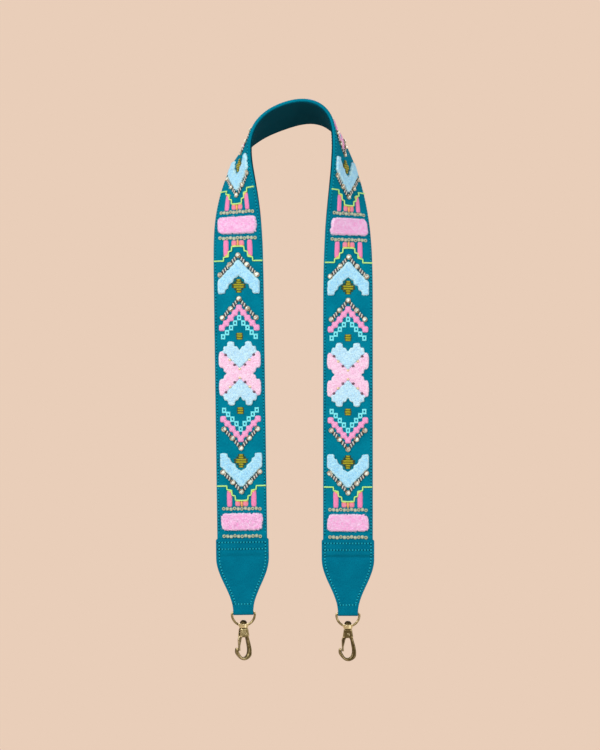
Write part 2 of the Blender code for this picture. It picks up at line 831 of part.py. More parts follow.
def make_ring():
    """The wire as a closed tube, the boss as a cylinder on it, and the stud's bore through both."""
    curve = bpy.data.curves.new("ring", "CURVE")
    curve.dimensions = "3D"
    curve.bevel_depth = wire / 2
    curve.bevel_resolution = 2
    points = ring_points()
    spline = curve.splines.new("POLY")
    spline.points.add(len(points) - 1)
    for point, (across, level) in zip(spline.points, points):
        point.co = (across, 0, level, 1)
    spline.use_cyclic_u = True
    holder = bpy.data.objects.new("ring", curve)
    cutter_collection.objects.link(holder)
    graph = bpy.context.evaluated_depsgraph_get()
    mesh = bpy.data.meshes.new_from_object(holder.evaluated_get(graph))
    tube = bmesh.new()
    tube.from_mesh(mesh)
    bpy.data.objects.remove(holder, do_unlink=True)
    bpy.data.curves.remove(curve)
    bpy.data.meshes.remove(mesh)
    boss = rod(boss_width, boss_bottom, boss_top)
    bore = rod(bore_width, boss_bottom - cut_overrun, boss_top + cut_overrun, small_round_sides)
    return carve("ring", tube, [("UNION", boss), ("DIFFERENCE", bore)])


def make_stud():
    """The turned rivet: a domed head inside the ring and a shank down into the hook's neck."""
    head_base = boss_top + gap
    foot = neck_level - shank_depth
    dome = arc((0, 0), 1, pi / 2, 0, dome_steps)
    profile = [(across * head_width / 2, head_base + along * head_height) for across, along in dome]
    profile += [(shank_width / 2, head_base), (shank_width / 2, foot), (0, foot)]
    bm = bmesh.new()
    corners = [bm.verts.new((across, 0, level)) for across, level in profile]
    for first, second in zip(corners, corners[1:]):
        bm.edges.new((first, second))
    bmesh.ops.spin(bm, geom=bm.verts[:] + bm.edges[:], axis=(0, 0, 1), cent=(0, 0, 0),
                   angle=2 * pi, steps=small_round_sides, use_merge=True)
    bmesh.ops.remove_doubles(bm, verts=bm.verts, dist=weld_distance)
    bmesh.ops.recalc_face_normals(bm, faces=bm.faces)
    return to_mesh(bm, "swivel_stud")


# The hook, from the swivel's axis and the top of its neck: X across, Z up. Shares of the half width
# and of the length below the neck, down the outside of the arm, round the bow to the nose, and back
# up the inside.
hook_shares = (
    (0.36, 0.06), (0.50, 0.24), (0.55, 0.275), (0.90, 0.636), (0.90, 0.850), (0.69, 0.920), (0.41, 0.972),
    (0.00, 1.000), (-0.41, 0.960), (-0.75, 0.865), (-1.02, 0.765), (-1.05, 0.685), (-0.98, 0.602),
    (-0.82, 0.587), (-0.70, 0.624), (-0.70, 0.709), (-0.56, 0.777), (-0.40, 0.850), (-0.24, 0.892),
    (0.06, 0.892), (0.22, 0.865), (0.37, 0.813), (0.44, 0.716), (0.44, 0.624), (0.20, 0.250), (-0.36, 0.250),
    (-0.36, 0.06),
)
nose_share = -0.70
gate_outer_shares = ((-0.60, 0.257), (-0.70, 0.339), (-0.68, 0.540))
gate_tip_share = 0.694
gate_inner_shares = ((-0.44, 0.694), (-0.47, 0.560), (-0.285, 0.339), (-0.14, 0.263))
knuckle_start = radians(-50)
knuckle_end = radians(200)

# The leaf spring: shares of the slot's side and of the block's length below the pin
spring_shares = ((1.00, -0.40), (1.00, 0.50), (0.80, 0.78), (0.25, 0.93), (-0.45, 0.90))


def on_hook(shares):
    return [(across * hook_half_width, -down * hook_length) for across, down in shares]


def eased(points):
    """Cuts every corner of a closed outline a quarter of the way along both of its sides."""
    cut = []
    for index, point in enumerate(points):
        after = points[(index + 1) % len(points)]
        for share in (corner_cut_share, 1 - corner_cut_share):
            cut.append(tuple(here + (there - here) * share for here, there in zip(point, after)))
    return cut


def make_hook():
    """The cast bow, the block on top of it, and the cuts for the stud, the gate and its pin."""
    bow = chamfered_plate(eased(on_hook(hook_shares)), hook_thickness, hook_chamfer)
    block = chamfered_plate(mirrored([
        (block_top_width / 2 - block_chamfer, 0), (block_top_width / 2, -block_chamfer),
        (block_width / 2, block_chamfer - block_length_down),
        (block_width / 2 - block_chamfer, -block_length_down),
    ]), block_thickness, block_chamfer)
    bore = rod(bore_width, -shank_depth - gap, cut_overrun, small_round_sides)
    half_slot = gate_thickness / 2 + gap
    slot = block_of(
        (-hook_half_width, -half_slot, -block_length_down - gap),
        (pin_place_across + slot_side, half_slot, knuckle_width / 2 + gap - pin_place_down),
    )
    pin_bore = cross_rod(pin_bore_width, block_thickness + cut_overrun, pin_place_across, -pin_place_down)
    return carve("hook", bow, [
        ("UNION", block), ("DIFFERENCE", bore), ("DIFFERENCE", slot), ("DIFFERENCE", pin_bore),
    ])


def make_gate():
    """The lever, from its pin: a knuckle, and a leg that ends against the inside of the hook's nose."""
    tip_side = nose_share * hook_half_width + gap
    outer = on_hook(gate_outer_shares)
    tip = [(tip_side, outer[-1][1] - gate_chamfer), (tip_side, -gate_tip_share * hook_length)]
    leg = outer + tip + on_hook(gate_inner_shares)
    leg = [(across - pin_place_across, along + pin_place_down) for across, along in leg]
    knuckle = arc((0, 0), knuckle_width / 2, knuckle_start, knuckle_end, arc_steps * 2)
    lever = chamfered_plate(leg + knuckle, gate_thickness, gate_chamfer)
    return carve("gate", lever, [("DIFFERENCE", cross_rod(pin_bore_width, block_thickness))])


def make_spring():
    """A leaf spring, from the gate's pin: down the slot's closed side and across to the gate's leg."""
    back = slot_side - gap - spring_thickness / 2
    drop = block_length_down - pin_place_down
    line = [Vector((across * back, -down * drop)) for across, down in spring_shares]
    bm = plate(ribbon(line, spring_thickness), spring_width)
    stand_up(bm)
    return to_mesh(bm, "gate_spring")


end_meshes = {
    "tab": make_tab(), "tab_stiffener": make_stiffener(), "ring": make_ring(), "swivel_stud": make_stud(),
    "hook": make_hook(), "gate": make_gate(), "gate_spring": make_spring(),
    "gate_pin": to_mesh(cross_rod(pin_width, block_thickness - gap * 2), "gate_pin"),
}


def add_end(side, index, outward, hook_turn):
    """One end: the tab and ring in the end's frame, the hook in its swivel's, the gate in its pin's."""
    down = Vector(walk_frames[index][:, 0]) * outward
    back = -Vector(walk_frames[index][:, 2])
    frame = Matrix((down.cross(back), back, -down)).transposed().to_4x4()
    frame.translation = Vector(walk_points[index]) + down * band_end_level
    bar = add_frame(f"bar_frame_{side}", frame)
    neck = Matrix.Translation((0, 0, neck_level))
    swivel = add_frame(f"swivel_frame_{side}", neck @ Matrix.Rotation(hook_turn, 4, "Z"), bar)
    pin = add_frame(f"pin_frame_{side}", Matrix.Translation((pin_place_across, 0, -pin_place_down)), swivel)
    for name, material, holder in (
        ("tab", teal_cloth, bar), ("tab_stiffener", board, bar), ("ring", antique_brass, bar),
        ("swivel_stud", antique_brass, swivel), ("hook", antique_brass, swivel), ("gate", bright_brass, pin),
        ("gate_pin", antique_brass, pin), ("gate_spring", spring_steel, pin),
    ):
        item = add_object(f"{name}_{side}", end_meshes[name].copy(), material, holder)
        if name == "swivel_stud":
            item.location = (0, 0, -neck_level)


add_end("left", 0, -1, left_hook_turn)
add_end("right", -1, 1, right_hook_turn)
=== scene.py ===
from math import cos, pi, radians, sin, sqrt

import bpy
import numpy as np
from mathutils import Matrix, Vector, noise


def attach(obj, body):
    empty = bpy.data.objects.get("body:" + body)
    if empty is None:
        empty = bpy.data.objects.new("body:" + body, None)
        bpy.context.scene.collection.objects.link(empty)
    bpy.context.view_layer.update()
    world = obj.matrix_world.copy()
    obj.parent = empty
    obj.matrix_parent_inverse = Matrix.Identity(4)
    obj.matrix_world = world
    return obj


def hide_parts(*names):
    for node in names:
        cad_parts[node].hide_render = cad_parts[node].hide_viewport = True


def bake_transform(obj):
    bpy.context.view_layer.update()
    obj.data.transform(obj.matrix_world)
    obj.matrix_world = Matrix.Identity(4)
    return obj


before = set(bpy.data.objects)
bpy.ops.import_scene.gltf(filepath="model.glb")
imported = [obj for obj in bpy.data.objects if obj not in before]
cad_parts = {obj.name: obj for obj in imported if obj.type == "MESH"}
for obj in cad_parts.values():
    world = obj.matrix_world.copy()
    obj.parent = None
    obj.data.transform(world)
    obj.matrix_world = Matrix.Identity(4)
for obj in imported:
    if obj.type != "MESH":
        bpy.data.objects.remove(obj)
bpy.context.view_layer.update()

# The studio. The strap hangs before a plain sand-coloured backdrop, above a small round floor of the same
# sand. The light is soft and even: a broad lamp at the upper left, a weaker one at the right, one behind.
sand = (0.815, 0.617, 0.485, 1.0)
floor_speck = (0.79055, 0.59849, 0.47045, 1.0)
sky_tint = (1.0, 0.99, 0.98, 1.0)
sky_strength = 0.55
floor_level = -0.78
floor_radius = 0.42
floor_glow = 0.6
strap_middle = (-0.006, 0, -0.264)
lamps = (
    ("key_lamp", (-1.3, -1.7, 0.75), 1.1, 31, (1.0, 0.99, 0.97)),
    ("fill_lamp", (1.5, -1.5, -0.1), 1.4, 12, (0.97, 0.99, 1.0)),
    ("back_lamp", (0.3, 1.8, 0.6), 1.2, 12, (1.0, 1.0, 1.0)),
)
camera_place = (-0.0061, -2.0216, -0.2644)
lens = 96
sensor_width = 36


def add_node(tree, kind, inputs=None, **settings):
    """Adds a node to a tree. Each input is given a value or joined to a socket."""
    made = tree.nodes.new("ShaderNode" + kind)
    for name, value in settings.items():
        setattr(made, name, value)
    for name, value in (inputs or {}).items():
        if isinstance(value, bpy.types.NodeSocket):
            tree.links.new(value, made.inputs[name])
        else:
            made.inputs[name].default_value = value
    return made.outputs


def reckon(tree, operation, *values):
    """The result of one sum."""
    return add_node(tree, "Math", dict(enumerate(values)), operation=operation)["Value"]


def new_shader(name):
    """A material and its empty node tree."""
    material = bpy.data.materials.new(name)
    material.use_nodes = True
    material.node_tree.nodes.clear()
    return material, material.node_tree


bpy.ops.object.select_all(action="DESELECT")
world = bpy.data.worlds.new("studio")
world.use_nodes = True
tree = world.node_tree
tree.nodes.clear()
rays = add_node(tree, "LightPath")
seen = reckon(tree, "MAXIMUM", rays["Is Camera Ray"], rays["Is Transmission Ray"])
seen = reckon(tree, "MAXIMUM", seen, rays["Is Glossy Ray"])
light = add_node(tree, "Background", {"Color": sky_tint, "Strength": sky_strength})
backdrop = add_node(tree, "Background", {"Color": sand, "Strength": 1.0})
mixed = add_node(tree, "MixShader", {"Fac": seen, 1: light["Background"], 2: backdrop["Background"]})
add_node(tree, "OutputWorld", {"Surface": mixed["Shader"]})
bpy.context.scene.world = world
bpy.context.scene.view_settings.view_transform = "Standard"

for name, place, size, power, tint in lamps:
    bpy.ops.object.light_add(type="AREA", location=place)
    lamp = bpy.context.object
    lamp.name = name
    lamp.rotation_euler = (Vector(strap_middle) - Vector(place)).to_track_quat("-Z", "Y").to_euler()
    lamp.data.size = size
    lamp.data.energy = power
    lamp.data.color = tint

bpy.ops.mesh.primitive_circle_add(
    vertices=96, radius=floor_radius, fill_type="NGON", location=(0, 0, floor_level),
)
floor = bpy.context.object
floor.name = "floor"
material, tree = new_shader("floor_paint")
rays = add_node(tree, "LightPath")
grain = add_node(tree, "TexNoise", {"Scale": 60.0, "Detail": 3.0})["Fac"]
tone = add_node(tree, "MixRGB", {"Fac": grain, "Color1": sand, "Color2": floor_speck})["Color"]
lit = add_node(tree, "BsdfDiffuse", {"Color": tone})["BSDF"]
glow = add_node(tree, "Emission", {"Color": sand, "Strength": 1.0})["Emission"]
share = reckon(tree, "MULTIPLY", rays["Is Camera Ray"], floor_glow)
mixed = add_node(tree, "MixShader", {"Fac": share, 1: lit, 2: glow})["Shader"]
add_node(tree, "OutputMaterial", {"Surface": mixed})
floor.data.materials.append(material)

bpy.ops.object.camera_add(location=camera_place, rotation=(radians(90), 0, 0))
camera = bpy.context.object
camera.data.lens = lens
camera.data.sensor_width = sensor_width
bpy.context.scene.camera = camera

# The face cloth. One length of plain-woven teal canvas, 73.7 mm wide, with both edges turned round the
# core and under it. It hangs in the arch's shape, with a twist above each leg.
band_width = 0.050
band_length = 0.922
band_tail = 0.014
band_thickness = 0.0042
cloth_thickness = 0.0006
turn_radius = 0.0016
hem_width = 0.0084
cloth_columns = 58
cloth_rows = 700
weave_pitch = 0.00055
map_scale = 10
stitch_pitch = 0.0031
left_shoulder = (-0.053, 0.058, 0.23)
right_shoulder = (0.025, 0.045, 0.39)
arch = (-0.003, 0.234, 0.38)
left_twist = (-0.105, 0.129)
right_twist = (0.104, 0.179)
leg_lean = radians(0.8)
first_angles = (radians(193), radians(-102), radians(103))
nudge = radians(0.01)
walk_step = 0.001
pucker_size = 0.006
pucker_depth = 0.00016
wave_size = 0.022
wave_depth = 0.0002
pull_width = 0.0012
pull_depth = 0.00018
dimple_depth = 0.00012
band_top = band_thickness / 2
band_end = band_length / 2 + band_tail


def hump(s, place, reach):
    """A smooth rise and fall of height one over the stretch that a turn reaches."""
    offset = (s - place) / reach
    return (1 + cos(pi * offset)) / 2 if abs(offset) < 1 else 0.0


def walk(angles):
    """The band's middle line from its left end, with its length, width and face axes at each step."""
    steps = round(2 * band_end / walk_step)
    step = 2 * band_end / steps
    length = np.array([-sin(leg_lean), 0.0, cos(leg_lean)])
    normal = np.array([0.0, -1.0, 0.0])
    axes = np.column_stack([length, np.cross(normal, length), normal])
    point = np.zeros(3)
    points, frames = [point], [axes]
    for index in range(steps):
        s = step * (index + 0.5) - band_end
        bend = angles[0] * sum(share / reach * hump(s, place, reach)
                               for place, reach, share in (left_shoulder, right_shoulder, arch))
        twist = sum(angle / reach * hump(s, place, reach)
                    for angle, (place, reach) in zip(angles[1:], (left_twist, right_twist)))
        half_turn = Vector((twist, bend, 0)) * step / 2
        turn = np.array(Matrix.Rotation(half_turn.length, 3, half_turn)) if half_turn.length else np.eye(3)
        axes = axes @ turn
        point = point + axes[:, 0] * step
        axes = axes @ turn
        points.append(point)
        frames.append(axes)
    return np.array(points), np.array(frames)


def end_error(angles):
    """How far the right leg is from plumb and from facing forward."""
    last = walk(angles)[1][-1]
    return np.array([last[0, 0], last[1, 0], last[0, 2]])


angles = np.array(first_angles)
for _ in range(4):
    error = end_error(angles)
    slopes = np.column_stack([(end_error(angles + nudge * axis) - error) / nudge for axis in np.eye(3)])
    angles = angles - np.linalg.solve(slopes, error)
path_points, path_frames = walk(angles)
crown = int(np.argmax(path_frames[:, 2, 0] <= 0))
path_points = path_points - (path_points[crown] - path_frames[crown][:, 2] * band_top)


def read_all(items, name, width=1, kind=float):
    """One property of all of a mesh's elements, as an array."""
    values = np.empty(len(items) * width, kind)
    items.foreach_get(name, values)
    return values.reshape(-1, width) if width > 1 else values


def corners_of(piece):
    """The places of a piece's vertices."""
    return read_all(piece.data.vertices, "co", 3)


def set_corners(piece, places):
    piece.data.vertices.foreach_set("co", places.ravel())
    piece.data.update()


def path_at(s):
    """The path's point and axes at places along the band."""
    steps = len(path_points) - 1
    where = np.clip((s + band_end) / (2 * band_end) * steps, 0, steps)
    low = np.minimum(where.astype(int), steps - 1)
    t = (where - low)[:, None]
    point = path_points[low] * (1 - t) + path_points[low + 1] * t
    axes = path_frames[low] * (1 - t[:, :, None]) + path_frames[low + 1] * t[:, :, None]
    return point, axes / np.linalg.norm(axes, axis=1, keepdims=True)


def hang(piece, flat):
    """Hangs a piece from its flat places: X runs across the band, Y along it and Z off its middle."""
    point, axes = path_at(flat[:, 1])
    set_corners(piece, point - axes[:, :, 1] * flat[:, :1] + axes[:, :, 2] * flat[:, 2:])


def lay_map(piece):
    """Gives a flat piece a UV map of its own plan, one unit to 100 mm."""
    mesh = piece.data
    if not mesh.uv_layers:
        mesh.uv_layers.new(name="plan")
    plan = corners_of(piece)[read_all(mesh.loops, "vertex_index", kind=int), :2]
    mesh.uv_layers[0].data.foreach_set("uv", (plan * map_scale).ravel())


def settle(scale=(1, 1, 1)):
    """Applies the newest piece's place, turn and scale to its mesh."""
    piece = bpy.context.object
    piece.scale = scale
    bpy.ops.object.transform_apply(location=True, rotation=True, scale=True)
    return piece


def add_grid(name, width, length, columns, rows):
    """A flat grid of cells, centred on the origin."""
    bpy.ops.mesh.primitive_grid_add(x_subdivisions=columns, y_subdivisions=rows, size=1)
    grid = settle((width, length, 1))
    grid.name = name
    grid.data.name = name
    return grid


def finish_with(piece, kind, **settings):
    """Adds a modifier to a piece and applies it."""
    modifier = piece.modifiers.new(kind.lower(), kind)
    for name, value in settings.items():
        setattr(modifier, name, value)
    bpy.context.view_layer.objects.active = piece
    bpy.ops.object.modifier_apply(modifier=modifier.name)


def thicken(piece, thickness, offset=-1.0):
    """Gives a sheet its thickness."""
    finish_with(piece, "SOLIDIFY", thickness=thickness, offset=offset, use_even_offset=False)


def ripple(places, size, seed):
    """Smooth random heights from -1 to 1 at the given places."""
    return np.array([noise.noise(Vector(place) / size + Vector((seed, seed, seed))) for place in places])


def smooth(piece):
    for polygon in piece.data.polygons:
        polygon.use_smooth = True
    return piece


def dress(piece, material, node, body="strap"):
    """Gives a finished piece its shading, material and body, in the place of its node."""
    piece.data.materials.clear()
    piece.data.materials.append(material)
    smooth(piece)
    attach(piece, body)
    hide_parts(node)


def speckle(tree, where, scale, detail, distortion=0.0):
    """A cloudy pattern at the given places, from 0 to 1."""
    return add_node(tree, "TexNoise", {"Vector": where, "Scale": scale, "Detail": detail,
                                       "Distortion": distortion})["Fac"]


def spread(tree, value, low, high, bottom=0.0, top=1.0):
    """A value stretched from one range to another, and held inside it."""
    return add_node(tree, "MapRange", {"Value": value, "From Min": low, "From Max": high,
                                       "To Min": bottom, "To Max": top})["Result"]


def mix_colours(tree, share, first, second):
    """A share between two colours, the first of which may be a socket."""
    if not isinstance(first, bpy.types.NodeSocket):
        first = (*first, 1.0)
    return add_node(tree, "MixRGB", {"Fac": share, "Color1": first, "Color2": (*second, 1.0)})["Color"]


def bump(tree, height, strength, depth):
    return add_node(tree, "Bump", {"Height": height, "Strength": strength, "Distance": depth})["Normal"]


def add_principled(tree, **inputs):
    """The tree's Principled shader, joined to its output. Underscores stand for spaces."""
    sockets = {name.replace("_", " "): value for name, value in inputs.items()}
    shader = add_node(tree, "BsdfPrincipled", sockets)["BSDF"]
    add_node(tree, "OutputMaterial", {"Surface": shader})


def canvas(name, dark, light, sheen=0.0):
    """Plain-woven cotton: bumps where the threads cross, slubs and a faint unevenness of the dye."""
    material, tree = new_shader(name)
    plan = add_node(tree, "UVMap")["UV"]
    parts = add_node(tree, "SeparateXYZ", {"Vector": plan})
    turns = 2 * pi / (weave_pitch * 2 * map_scale)
    warp, weft = (reckon(tree, "SINE", reckon(tree, "MULTIPLY", parts[axis], turns)) for axis in "XY")
    cross = reckon(tree, "MULTIPLY", warp, weft)
    stretched = add_node(tree, "Mapping", {"Vector": plan, "Scale": (60.0, 8.0, 1.0)})["Vector"]
    slub = speckle(tree, stretched, 6.0, 4.0)
    dye = speckle(tree, plan, 5.0, 3.0)
    fleck = speckle(tree, plan, 150.0, 2.0)
    tone = reckon(tree, "ADD", reckon(tree, "MULTIPLY_ADD", dye, 0.5, fleck), slub)
    tone = reckon(tree, "MULTIPLY_ADD", cross, 0.12, tone)
    colour = mix_colours(tree, spread(tree, tone, 0.90, 1.60), dark, light)
    relief = reckon(tree, "MULTIPLY_ADD", slub, 0.6, cross)
    add_principled(tree, Base_Color=colour, Roughness=0.85, Normal=bump(tree, relief, 0.6, 0.00012),
                   Sheen_Weight=sheen, Sheen_Roughness=0.4, Sheen_Tint=(*light, 1.0),
                   Specular_IOR_Level=0.015)
    return material


flat_half = band_width / 2 - turn_radius
turn_length = pi * turn_radius
cloth_width = 2 * (flat_half + turn_length + hem_width)
face = add_grid("face_cloth", cloth_width, 2 * band_end, cloth_columns, cloth_rows)
lay_map(face)
flat = corners_of(face)
across, along = flat[:, 0], flat[:, 1]
past = np.abs(across) - flat_half
turn = np.clip(past / turn_radius, 0, pi)
under = np.maximum(past - turn_length, 0)
pucker = ripple(flat * (2.2, 1.0, 0.0), pucker_size, 3.1) * pucker_depth
pucker += ripple(flat * (1.0, 1.5, 0.0), wave_size, 8.4) * wave_depth
edge_pull = np.exp(-(past / pull_width) ** 2)
pucker -= edge_pull * (pull_depth + dimple_depth * np.cos(2 * pi * along / stitch_pitch))
pucker *= 1 - np.clip(past / turn_radius, 0, 1)
flat[:, 0] = np.sign(across) * (np.minimum(np.abs(across), flat_half) + turn_radius * np.sin(turn) - under)
flat[:, 2] = band_top - turn_radius * (1 - np.cos(turn)) + pucker
hang(face, flat)
thicken(face, cloth_thickness)
dress(face, canvas("teal_canvas", (0.0001, 0.108, 0.185), (0.0006, 0.285, 0.405)), "band_face")

# The core and the backing. A strip of grey felt gives the strap its body, and a strip of dark teal
# canvas, a little narrower than the band, covers the felt and the hems on the underside.
core_width = 0.0460
core_top = 0.0011
core_thickness = 0.0011
backing_width = 0.0484
backing_thickness = 0.0006
backing_columns = 30
backing_wave = (0.009, 0.00012)


def felt(name):
    """Needled wool: a matt grey with short fibres."""
    material, tree = new_shader(name)
    fibre = speckle(tree, add_node(tree, "UVMap")["UV"], 90.0, 5.0, 1.5)
    add_principled(tree, Base_Color=mix_colours(tree, fibre, (0.17, 0.17, 0.16), (0.33, 0.33, 0.31)),
                   Roughness=0.95, Normal=bump(tree, fibre, 0.5, 0.0002), Sheen_Weight=0.2)
    return material


dark_canvas = canvas("dark_teal_canvas", (0.001, 0.040, 0.060), (0.003, 0.065, 0.090), 0.03)
for name, node, width, top, thickness, wave, material, slot in (
    ("core_felt", "band_core", core_width, core_top, core_thickness, 0.0, felt("grey_felt"), "grey_felt"),
    ("backing_cloth", "band_backing", backing_width, backing_thickness - band_top, backing_thickness,
     backing_wave[1], dark_canvas, "dark_teal_cloth"),
):
    strip = add_grid(name, width, 2 * band_end, backing_columns, cloth_rows)
    lay_map(strip)
    flat = corners_of(strip)
    flat[:, 2] = top
    if wave:
        flat[:, 2] += ripple(flat * (1.6, 1.0, 0.0), backing_wave[0], 5.7) * wave
    hang(strip, flat)
    thicken(strip, thickness)
    dress(strip, material, node)

# The cross blocks. Three dense patches of cut pile, 42 by 64 mm, with pale pink arms and pale blue lobes
# above and below. The pile is tufted through the cloth, and beads are sewn along the two seams.
repeat_length = 0.296
motif_width = 0.042
block_length = 0.064
block_shares = (
    (0.00, 0.70), (0.10, 0.85), (0.25, 0.85), (0.25, 1.00), (0.58, 1.00), (0.58, 0.85), (0.78, 0.85),
    (0.78, 0.69), (1.00, 0.69), (1.00, 0.175), (0.77, 0.175), (0.77, 0.06), (0.61, 0.00),
)
block_ragged = 0.00065
ragged_size = 0.0021
pile_rise = 0.0026
short_pile = {"rise": pile_rise, "shoulder": 0.0018, "tuft": 0.0013, "tuft_depth": 0.0009}
short_yarn = {"per_area": 1.3e6, "length": 0.0007}
pile_cell = 0.00045
pad_sink = 0.0003
swell_size = 0.004
swell_share = 0.09
rim_light_width = 0.0017
strand_width = 0.0004
strand_reach = (0.5, 1.0)
strand_lean = 0.45
strand_light_shares = (0.1, 0.1, 0.1, 0.75)
seam_start = 0.0049
seam_slope = 0.976
seam_width = 0.0007
seam_depth = 0.0011
dark_beads = ((0.0140, 0.0186), (0.0053, 0.0086))
gold_beads = ((0.0, 0.0044), (0.0098, 0.0134))
bead_size = 0.0027
bead_shape = (1.15, 1.0, 0.8)
bead_level = pile_rise * 0.72


def outline_of(shares, width, length):
    """A whole outline from its half in shares, with every corner cut twice to round it."""
    half = [(across * width / 2, along * length) for across, along in shares]
    points = half + [(-across, along) for across, along in reversed(half) if across > 0]
    for _ in range(2):
        pairs = zip(points, points[1:] + points[:1])
        points = [tuple(here + (there - here) * share for here, there in zip(first, second))
                  for first, second in pairs for share in (0.25, 0.75)]
    return points


def depth_inside(places, outline):
    """How far inside a closed outline each place lies, and negative outside it."""
    x, y = places[:, 0], places[:, 1]
    inside = np.zeros(len(x), bool)
    nearest = np.full(len(x), 1.0)
    for (ax, ay), (bx, by) in zip(outline, outline[1:] + outline[:1]):
        run, climb = bx - ax, by - ay
        share = np.clip(((x - ax) * run + (y - ay) * climb) / (run * run + climb * climb), 0, 1)
        nearest = np.minimum(nearest, np.hypot(x - ax - share * run, y - ay - share * climb))
        if climb:
            inside ^= ((ay > y) != (by > y)) & (x < run * (y - ay) / climb + ax)
    return np.where(inside, nearest, -nearest)


def cut_out(outline, ragged, seed):
    """A grid of cells trimmed to an outline with a slightly ragged edge, thickened downwards."""
    low = np.min(outline, axis=0) - pile_cell * 2
    high = np.max(outline, axis=0) + pile_cell * 2
    columns, rows = (max(2, round(float(size) / pile_cell)) for size in high - low)
    patch = add_grid("patch", *(high - low), columns, rows)
    flat = corners_of(patch) + (*(low + high) / 2, 0.0)
    depth = depth_inside(flat, outline) + ragged * ripple(flat, ragged_size, seed)
    rim_reach = pile_cell * 0.55
    kept = depth >= -rim_reach
    bpy.ops.object.mode_set(mode="EDIT")
    bpy.ops.mesh.select_mode(type="VERT")
    bpy.ops.mesh.select_all(action="DESELECT")
    bpy.ops.object.mode_set(mode="OBJECT")
    patch.data.vertices.foreach_set("select", ~kept)
    bpy.ops.object.mode_set(mode="EDIT")
    bpy.ops.mesh.delete(type="VERT")
    bpy.ops.object.mode_set(mode="OBJECT")
    flat, depth = flat[kept], depth[kept]
    rim = np.abs(depth) < rim_reach
    slopes = [depth_inside(flat[rim] + step, outline) - depth_inside(flat[rim] - step, outline)
              for step in np.eye(3)[:2] * pile_cell / 4]
    flat[rim, :2] -= np.column_stack(slopes) / (pile_cell / 2) * depth[rim, None]
    set_corners(patch, flat)
    lay_map(patch)
    thicken(patch, pad_sink)
    return patch


def store_shares(mesh, name, shares):
    """Stores a number on each vertex, for a material to read."""
    mesh.attributes.new(name, "FLOAT", "POINT").data.foreach_set("value", shares.astype(np.float32).ravel())


def raise_pile(patch, outline, rise, shoulder, tuft, tuft_depth, seed, seam=None):
    """Raises a cut-out into a crowned patch of tufts with a round shoulder, and a groove at its seam."""
    flat = corners_of(patch)
    top = flat[:, 2] > -pad_sink / 2
    places = flat[top]
    depth = np.maximum(depth_inside(places, outline), 0)
    share = np.clip(depth / shoulder, 0, 1)
    height = rise * np.sqrt(1 - (1 - share) ** 2)
    shift = Vector((seed, seed, 0))
    cells = np.array([noise.voronoi(Vector(place) / tuft + shift)[0][0] for place in places])
    height += tuft_depth * (0.5 - np.minimum(cells, 1)) * share
    height += ripple(places, swell_size, seed + 2) * rise * swell_share * share
    if seam:
        height -= seam(places) * share
    flat[top, 2] += height - pad_sink
    flat[~top, 2] -= pad_sink
    set_corners(patch, flat)
    # The rim share is a painted highlight: 1 at the pile's edge, falling to 0 a little way in, for the
    # material to lighten by.
    rim = np.ones(len(flat))
    rim[top] = 1 - np.clip(depth / rim_light_width, 0, 1)
    store_shares(patch.data, "rim", rim)


def add_object(name, data):
    made = bpy.data.objects.new(name, data)
    bpy.context.scene.collection.objects.link(made)
    return made


def pick(*pieces):
    """Selects these pieces alone, with the first one active."""
    bpy.ops.object.select_all(action="DESELECT")
    for piece in pieces:
        piece.select_set(True)
    bpy.context.view_layer.objects.active = pieces[0]


def add_strands(patch, per_area, length, seed):
    """The cut ends of the yarn that stand out of a patch of pile, each a thin three-sided spike."""
    chance = np.random.default_rng(seed)
    flat = corners_of(patch)
    rim = read_all(patch.data.attributes["rim"].data, "value", kind=np.float32)
    top = np.flatnonzero(flat[:, 2] > -pad_sink * 1.5)
    count = int(len(top) * pile_cell ** 2 * per_area)
    chosen = top[chance.integers(len(top), size=count)]
    root = flat[chosen] - (0, 0, strand_width)
    root[:, :2] += chance.uniform(-pile_cell / 2, pile_cell / 2, (count, 2))
    reach = length * chance.uniform(*strand_reach, (count, 1))
    lean = np.column_stack([chance.normal(0, strand_lean, (count, 2)), np.ones(count)])
    tip = root + (0, 0, strand_width) + reach * lean
    turn = chance.uniform(0, 2 * pi, count)
    foot = [root + strand_width / 2 * np.column_stack([np.cos(turn + third), np.sin(turn + third), turn * 0])
            for third in (0, 2 * pi / 3, 4 * pi / 3)]
    corners = np.stack([*foot, tip], axis=1).reshape(-1, 3)
    faces = [tuple(index * 4 + corner for corner in face)
             for index in range(count) for face in ((0, 1, 3), (1, 2, 3), (2, 0, 3), (2, 1, 0))]
    mesh = bpy.data.meshes.new("strands")
    mesh.from_pydata(corners.tolist(), [], faces)
    # Painted highlight on the strands: their roots get a low rim share and their tips a high one, so the tips
    # render paler.
    store_shares(mesh, "rim", np.maximum(rim[chosen][:, None], strand_light_shares))
    pick(patch, add_object("strands", mesh))
    bpy.ops.object.join()


def tuft_patch(outline, ragged, pile, yarn, seed, strand_seed, materials, seam=None):
    """A flat patch of cut pile, ready to be sewn down."""
    patch = cut_out(outline, ragged, seed)
    raise_pile(patch, outline, **pile, seed=seed, seam=seam)
    add_strands(patch, **yarn, seed=strand_seed)
    for material in materials:
        patch.data.materials.append(material)
    return smooth(patch)


def sew(pattern, name, place, flip, node=None):
    """A copy of a flat pattern, turned round where flip is -1, hung at its place along the band."""
    piece = add_object(name, pattern.data.copy())
    piece.data.name = name
    hang(piece, corners_of(piece) * (flip, flip, 1) + (0, place, band_top))
    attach(piece, "strap")
    if node:
        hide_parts(node)


def clear_away(*patterns):
    for pattern in patterns:
        bpy.data.objects.remove(pattern, do_unlink=True)


def join_flat(parts, name, materials):
    """Joins flat parts into one, where each face keeps its place in the list of materials."""
    for part in parts:
        for material in materials:
            part.data.materials.append(material)
    pick(*parts)
    bpy.ops.object.join()
    joined = bpy.context.object
    joined.name = name
    return joined


def both_sides(across):
    """The two sides of the band's middle line, or one for a place on the line itself."""
    return (1, -1) if across else (1,)


